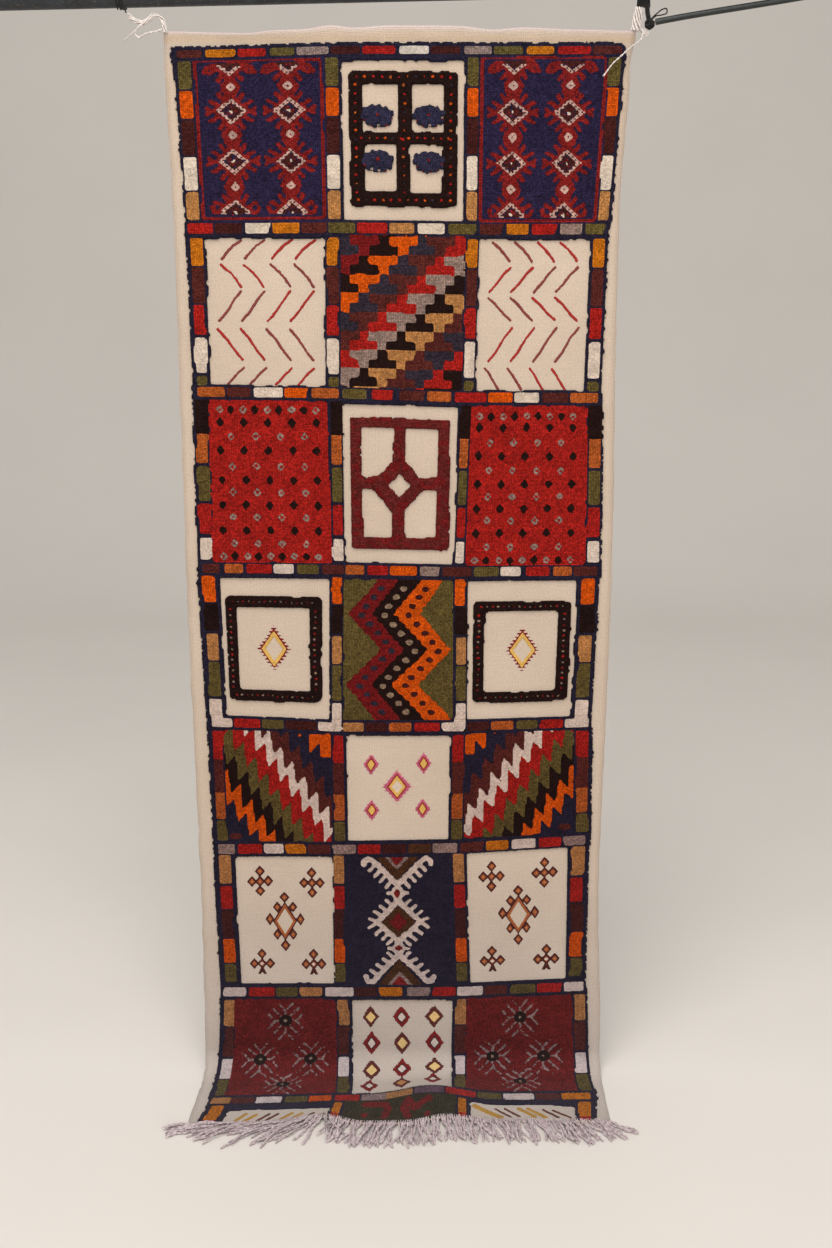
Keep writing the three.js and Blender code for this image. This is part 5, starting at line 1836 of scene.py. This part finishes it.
def makeRightTie():
    paths = pliedYarns(rightTie["column"], 30, 5.2, 12, 7, 0.0, 0.15, 6, 0.5)
    paths += [(line, widths * 0.9) for line, widths in pliedYarns(rightTie["column"], 30, 1.8, 16, 3)]
    for number, (turn, reach) in enumerate(rightTie["loops"]):
        start = np.array(rightTie["tuft"][1], float)
        out = np.array([math.cos(math.radians(turn)), 0, math.sin(math.radians(turn))])
        side = np.array([-out[2], -0.4, out[0]])
        loop = [start, start + out * reach * 0.6 + side * 1.8, start + out * reach,
                start + out * reach * 0.6 - side * 1.8, start + np.array([-1, -1.5, number * 0.5])]
        paths.append((smoothLine(lowered(loop), 16), np.full(16, 0.45)))
    paths += [(line, widths * 0.6) for line, widths in pliedYarns(rightTie["tuft"], 16, 1.2, 40, 4, 0.4,
                                                                  0.3, 7)]
    thin = pliedYarns(rightTie["free"], 60, 0.7, 55, 2, 0.2, 0.2, 8)
    paths += [(line, np.interp(np.arange(60), [0, 50, 59], [0.5, 0.5, 0.72])) for line, _ in thin]
    tie = strandPiece("tie_right_yarns", paths, tieYarn, 3.8, 0.72, 140, 7)
    finishPiece(tie, "tie_yarn", "tie_right")
    return tie


tieLeft = makeLeftTie()
tieRight = makeRightTie()
print("ties made")

# Black strap: a ring round the pole, its gathered end, a tongue beside the yarn, a knot and a small loop
strap = {"at": 441, "width": 23, "thick": 3.4}
strapGather = {"high": (430, 453, -5, 3, 2176), "low": (429, 454, -6, 1, 2158.4)}
strapTongue = [(448, -3, 2162), (449, -3.5, 2150), (451, -4, 2140), (453, -4, 2132)]
strapKnot = {"centre": (453.6, -4, 2129.5), "half": (11.6, 8.8, 12.5)}
strapLoop = [(455, -6, 2137), (464, -9, 2145), (475, -9, 2153), (482, -9, 2154), (483, -9, 2147),
             (474, -9, 2143.5), (464, -9, 2142), (456, -7, 2136)]


def gridObject(name, points, material, closedAcross=False):
    rows, columns = points.shape[:2]
    number = np.arange(rows * columns).reshape(rows, columns)
    if closedAcross:
        number = np.concatenate([number, number[:, :1]], axis=1)
    quads = np.column_stack([number[:-1, :-1].reshape(-1), number[1:, :-1].reshape(-1),
                             number[1:, 1:].reshape(-1), number[:-1, 1:].reshape(-1)])
    faces = [quads]
    if closedAcross:
        for line, flip in ((number[0, :-1], -1), (number[-1, :-1], 1)):
            ring = line[::flip]
            faces.append(np.column_stack([np.full(len(ring) - 2, ring[0]), ring[1:-1], ring[2:]]))
    return toMetres(points).reshape(-1, 3), faces


def makeStrap():
    sides = 72
    width = strap["width"]
    inner = poleRadius + seatGap
    profile = []
    for share in np.linspace(0, 1, 15):
        crown = 0.5 * math.sin(share * math.pi * 5) ** 2
        profile.append((-width / 2 + width * share, inner + strap["thick"] * 0.8 + crown))
    profile += [(width / 2, inner), (-width / 2, inner)]
    profile = np.array(profile)
    angle = np.linspace(0, 2 * math.pi, sides, endpoint=False)[:, None]
    ring = onPole(strap["at"] + profile[None, :, 0], -profile[None, :, 1] * np.sin(angle),
                  profile[None, :, 1] * np.cos(angle))
    count = ring.shape[1]
    number = np.arange(sides * count).reshape(sides, count)
    number = np.concatenate([number, number[:1]])
    number = np.concatenate([number, number[:, :1]], axis=1)
    quads = np.column_stack([number[:-1, :-1].reshape(-1), number[:-1, 1:].reshape(-1),
                             number[1:, 1:].reshape(-1), number[1:, :-1].reshape(-1)])
    points = [toMetres(ring).reshape(-1, 3)]
    faces = [quads]
    total = sides * count
    high = strapGather["high"]
    low = strapGather["low"]
    around = 40
    levels = 9
    turn = np.linspace(0, 2 * math.pi, around, endpoint=False)
    block = []
    for share in np.linspace(0, 1, levels):
        left, right, front, back, z = [a + (b - a) * share for a, b in zip(high, low)]
        x = (left + right) / 2 + (right - left) / 2 * np.sign(np.cos(turn)) * np.abs(np.cos(turn)) ** 0.5
        y = (front + back) / 2 - (back - front) / 2 * np.sign(np.sin(turn)) * np.abs(np.sin(turn)) ** 0.5
        y = y - 0.9 * np.cos(x * 2 * math.pi / 5.2) * np.sin(turn)
        block.append(np.column_stack([x, y, np.full(around, z - poleHeight)]))
    blockPoints, blockFaces = gridObject("", np.array(block), blackThread, True)
    points.append(blockPoints)
    faces += [group + total for group in blockFaces]
    quadFaces = np.concatenate([group for group in faces if group.shape[1] == 4])
    triFaces = np.concatenate([group for group in faces if group.shape[1] == 3])
    made = meshObject("strap_right_ring", np.concatenate(points), [quadFaces, triFaces], blackThread)
    finishPiece(made, "black_thread", "strap_right")
    centre = lowered(strapKnot["centre"])
    halfX, halfY, halfZ = strapKnot["half"]
    paths = []
    for tiltX, tiltZ, size in ((0.35, 0.5, 0.82), (-0.6, -0.4, 0.78), (1.3, 0.2, 0.74), (0.1, 1.35, 0.76)):
        around = np.linspace(0, 2 * math.pi, 29)
        loop = np.column_stack([np.cos(around), np.sin(around) * math.cos(tiltX),
                                np.sin(around) * math.sin(tiltX)])
        turned = np.column_stack([loop[:, 0] * math.cos(tiltZ) - loop[:, 2] * math.sin(tiltZ), loop[:, 1],
                                  loop[:, 0] * math.sin(tiltZ) + loop[:, 2] * math.cos(tiltZ)])
        paths.append((centre + turned * np.array([halfX, halfY, halfZ]) * size * 0.78, np.full(29, 1.0)))
    paths.append((smoothLine(lowered(strapTongue), 20), np.full(20, 1.9)))
    paths.append((smoothLine(lowered(strapLoop), 50), np.full(50, 0.52)))
    core = [centre + np.array([0, 0, halfZ * 0.8 * step]) for step in np.linspace(-1, 1, 13)]
    coreWidth = 2.1 * np.sqrt(np.maximum(1 - np.linspace(-1, 1, 13) ** 2, 0.04))
    paths.append((np.array(core), coreWidth))
    knot = strandPiece("strap_right_knot", paths, blackThread, 5.6, 0.8, 0, 10)
    finishPiece(knot, "black_thread")
    return made


makeStrap()
print("strap tied")

# The pole: an old pipe under worn paint, with shallow dents
pole = {"length": 1580, "chamfer": 1.5, "sides": 48, "rings": 60, "dent": 0.25}


def makePole():
    half = pole["length"] / 2
    along = np.concatenate([[-half, -half], np.linspace(-half + pole["chamfer"], half - pole["chamfer"],
                                                        pole["rings"]),
                            [half, half]])
    radius = np.full(len(along), poleRadius)
    radius[[1, -2]] = poleRadius - pole["chamfer"]
    radius[[0, -1]] = poleRadius - 2.6 - pole["chamfer"]
    turn = np.linspace(0, 2 * math.pi, pole["sides"], endpoint=False)
    dents = softNoise(len(along), pole["sides"], 6, 55) * pole["dent"]
    dents[:, -6:] *= np.linspace(1, 0, 6)[None, :]
    dents[:, :6] *= np.linspace(0, 1, 6)[None, :]
    dents[[0, 1, -2, -1]] = 0
    reach = radius[:, None] - np.abs(dents)
    ring = onPole(along[:, None], reach * np.cos(turn)[None, :], reach * np.sin(turn)[None, :])
    points, faces = gridObject("", ring, poleGloss, True)
    made = meshObject("pole_pipe", points, [np.concatenate([g for g in faces if g.shape[1] == 4]),
                                            np.concatenate([g for g in faces if g.shape[1] == 3])], poleGloss)
    finishPiece(made, "pole_paint", "pole")
    return made


makePole()
print("pole made")

for piece in clothPieces:
    finishPiece(piece, "rug_wool")
finishPiece(fringePiece, "fringe_yarn", "fringe")
finishPiece(ground, "rug_wool", "rug")


# Studio: a pale floor that turns up into a backdrop, and soft light from above and the front
studio = {"floor": "#e4e0db", "backdropFar": 6.5, "bend": 2.0, "half": 14.0, "high": 9.0, "near": -9.0,
          "sky": 0.54, "topPower": 165.0, "frontPower": 45.0, "tint": (1.0, 0.965, 0.925)}


def makeStage():
    material, tree, shader = newMaterial("pale floor")
    pale = linearColour(studio["floor"])
    stops = [(0.3, [c * 0.97 for c in pale]), (0.7, pale)]
    tree.links.new(rampNode(tree, noiseNode(tree, objectPlace(tree), 1.2), stops),
                   shader.inputs["Base Color"])
    shader.inputs["Roughness"].default_value = 0.9
    line = [(studio["near"], 0.0), (studio["backdropFar"] - studio["bend"], 0.0)]
    for turn in np.linspace(0, math.pi / 2, 17)[1:]:
        line.append((studio["backdropFar"] - studio["bend"] + studio["bend"] * math.sin(turn),
                     studio["bend"] * (1 - math.cos(turn))))
    line.append((studio["backdropFar"], studio["high"]))
    points = [(side * studio["half"], y, z - poleHeight * 0.001) for y, z in line for side in (-1, 1)]
    count = len(line)
    quads = np.array([[2 * k, 2 * k + 1, 2 * k + 3, 2 * k + 2] for k in range(count - 1)])
    meshObject("floor", points, [quads], material)


def makeLight(name, place, target, size, power):
    data = bpy.data.lights.new(name, "AREA")
    data.shape = "DISK"
    data.size = size
    data.energy = power
    data.color = studio["tint"]
    light = bpy.data.objects.new(name, data)
    light.location = place
    away = np.array(target) - np.array(place)
    light.rotation_euler = (math.atan2(math.hypot(away[0], away[1]), -away[2]), 0,
                            math.atan2(away[1], away[0]) - math.pi / 2)
    scene.collection.objects.link(light)


makeStage()
makeLight("top light", (-0.6, -2.6, 2.6), (0, 0, -1.0), 3.6, studio["topPower"])
makeLight("front light", (1.8, -4.2, 0.4), (0, 0, -1.3), 3.0, studio["frontPower"])
world = bpy.data.worlds.new("studio")
world.use_nodes = True
world.node_tree.nodes["Background"].inputs["Color"].default_value = (*studio["tint"], 1)
world.node_tree.nodes["Background"].inputs["Strength"].default_value = studio["sky"]
scene.world = world
print("studio set")

triangles = sum(len(p.vertices) - 2 for o in bpy.data.objects if o.type == "MESH" and not o.get("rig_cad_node")
                for p in o.data.polygons)
print("triangles added:", triangles)
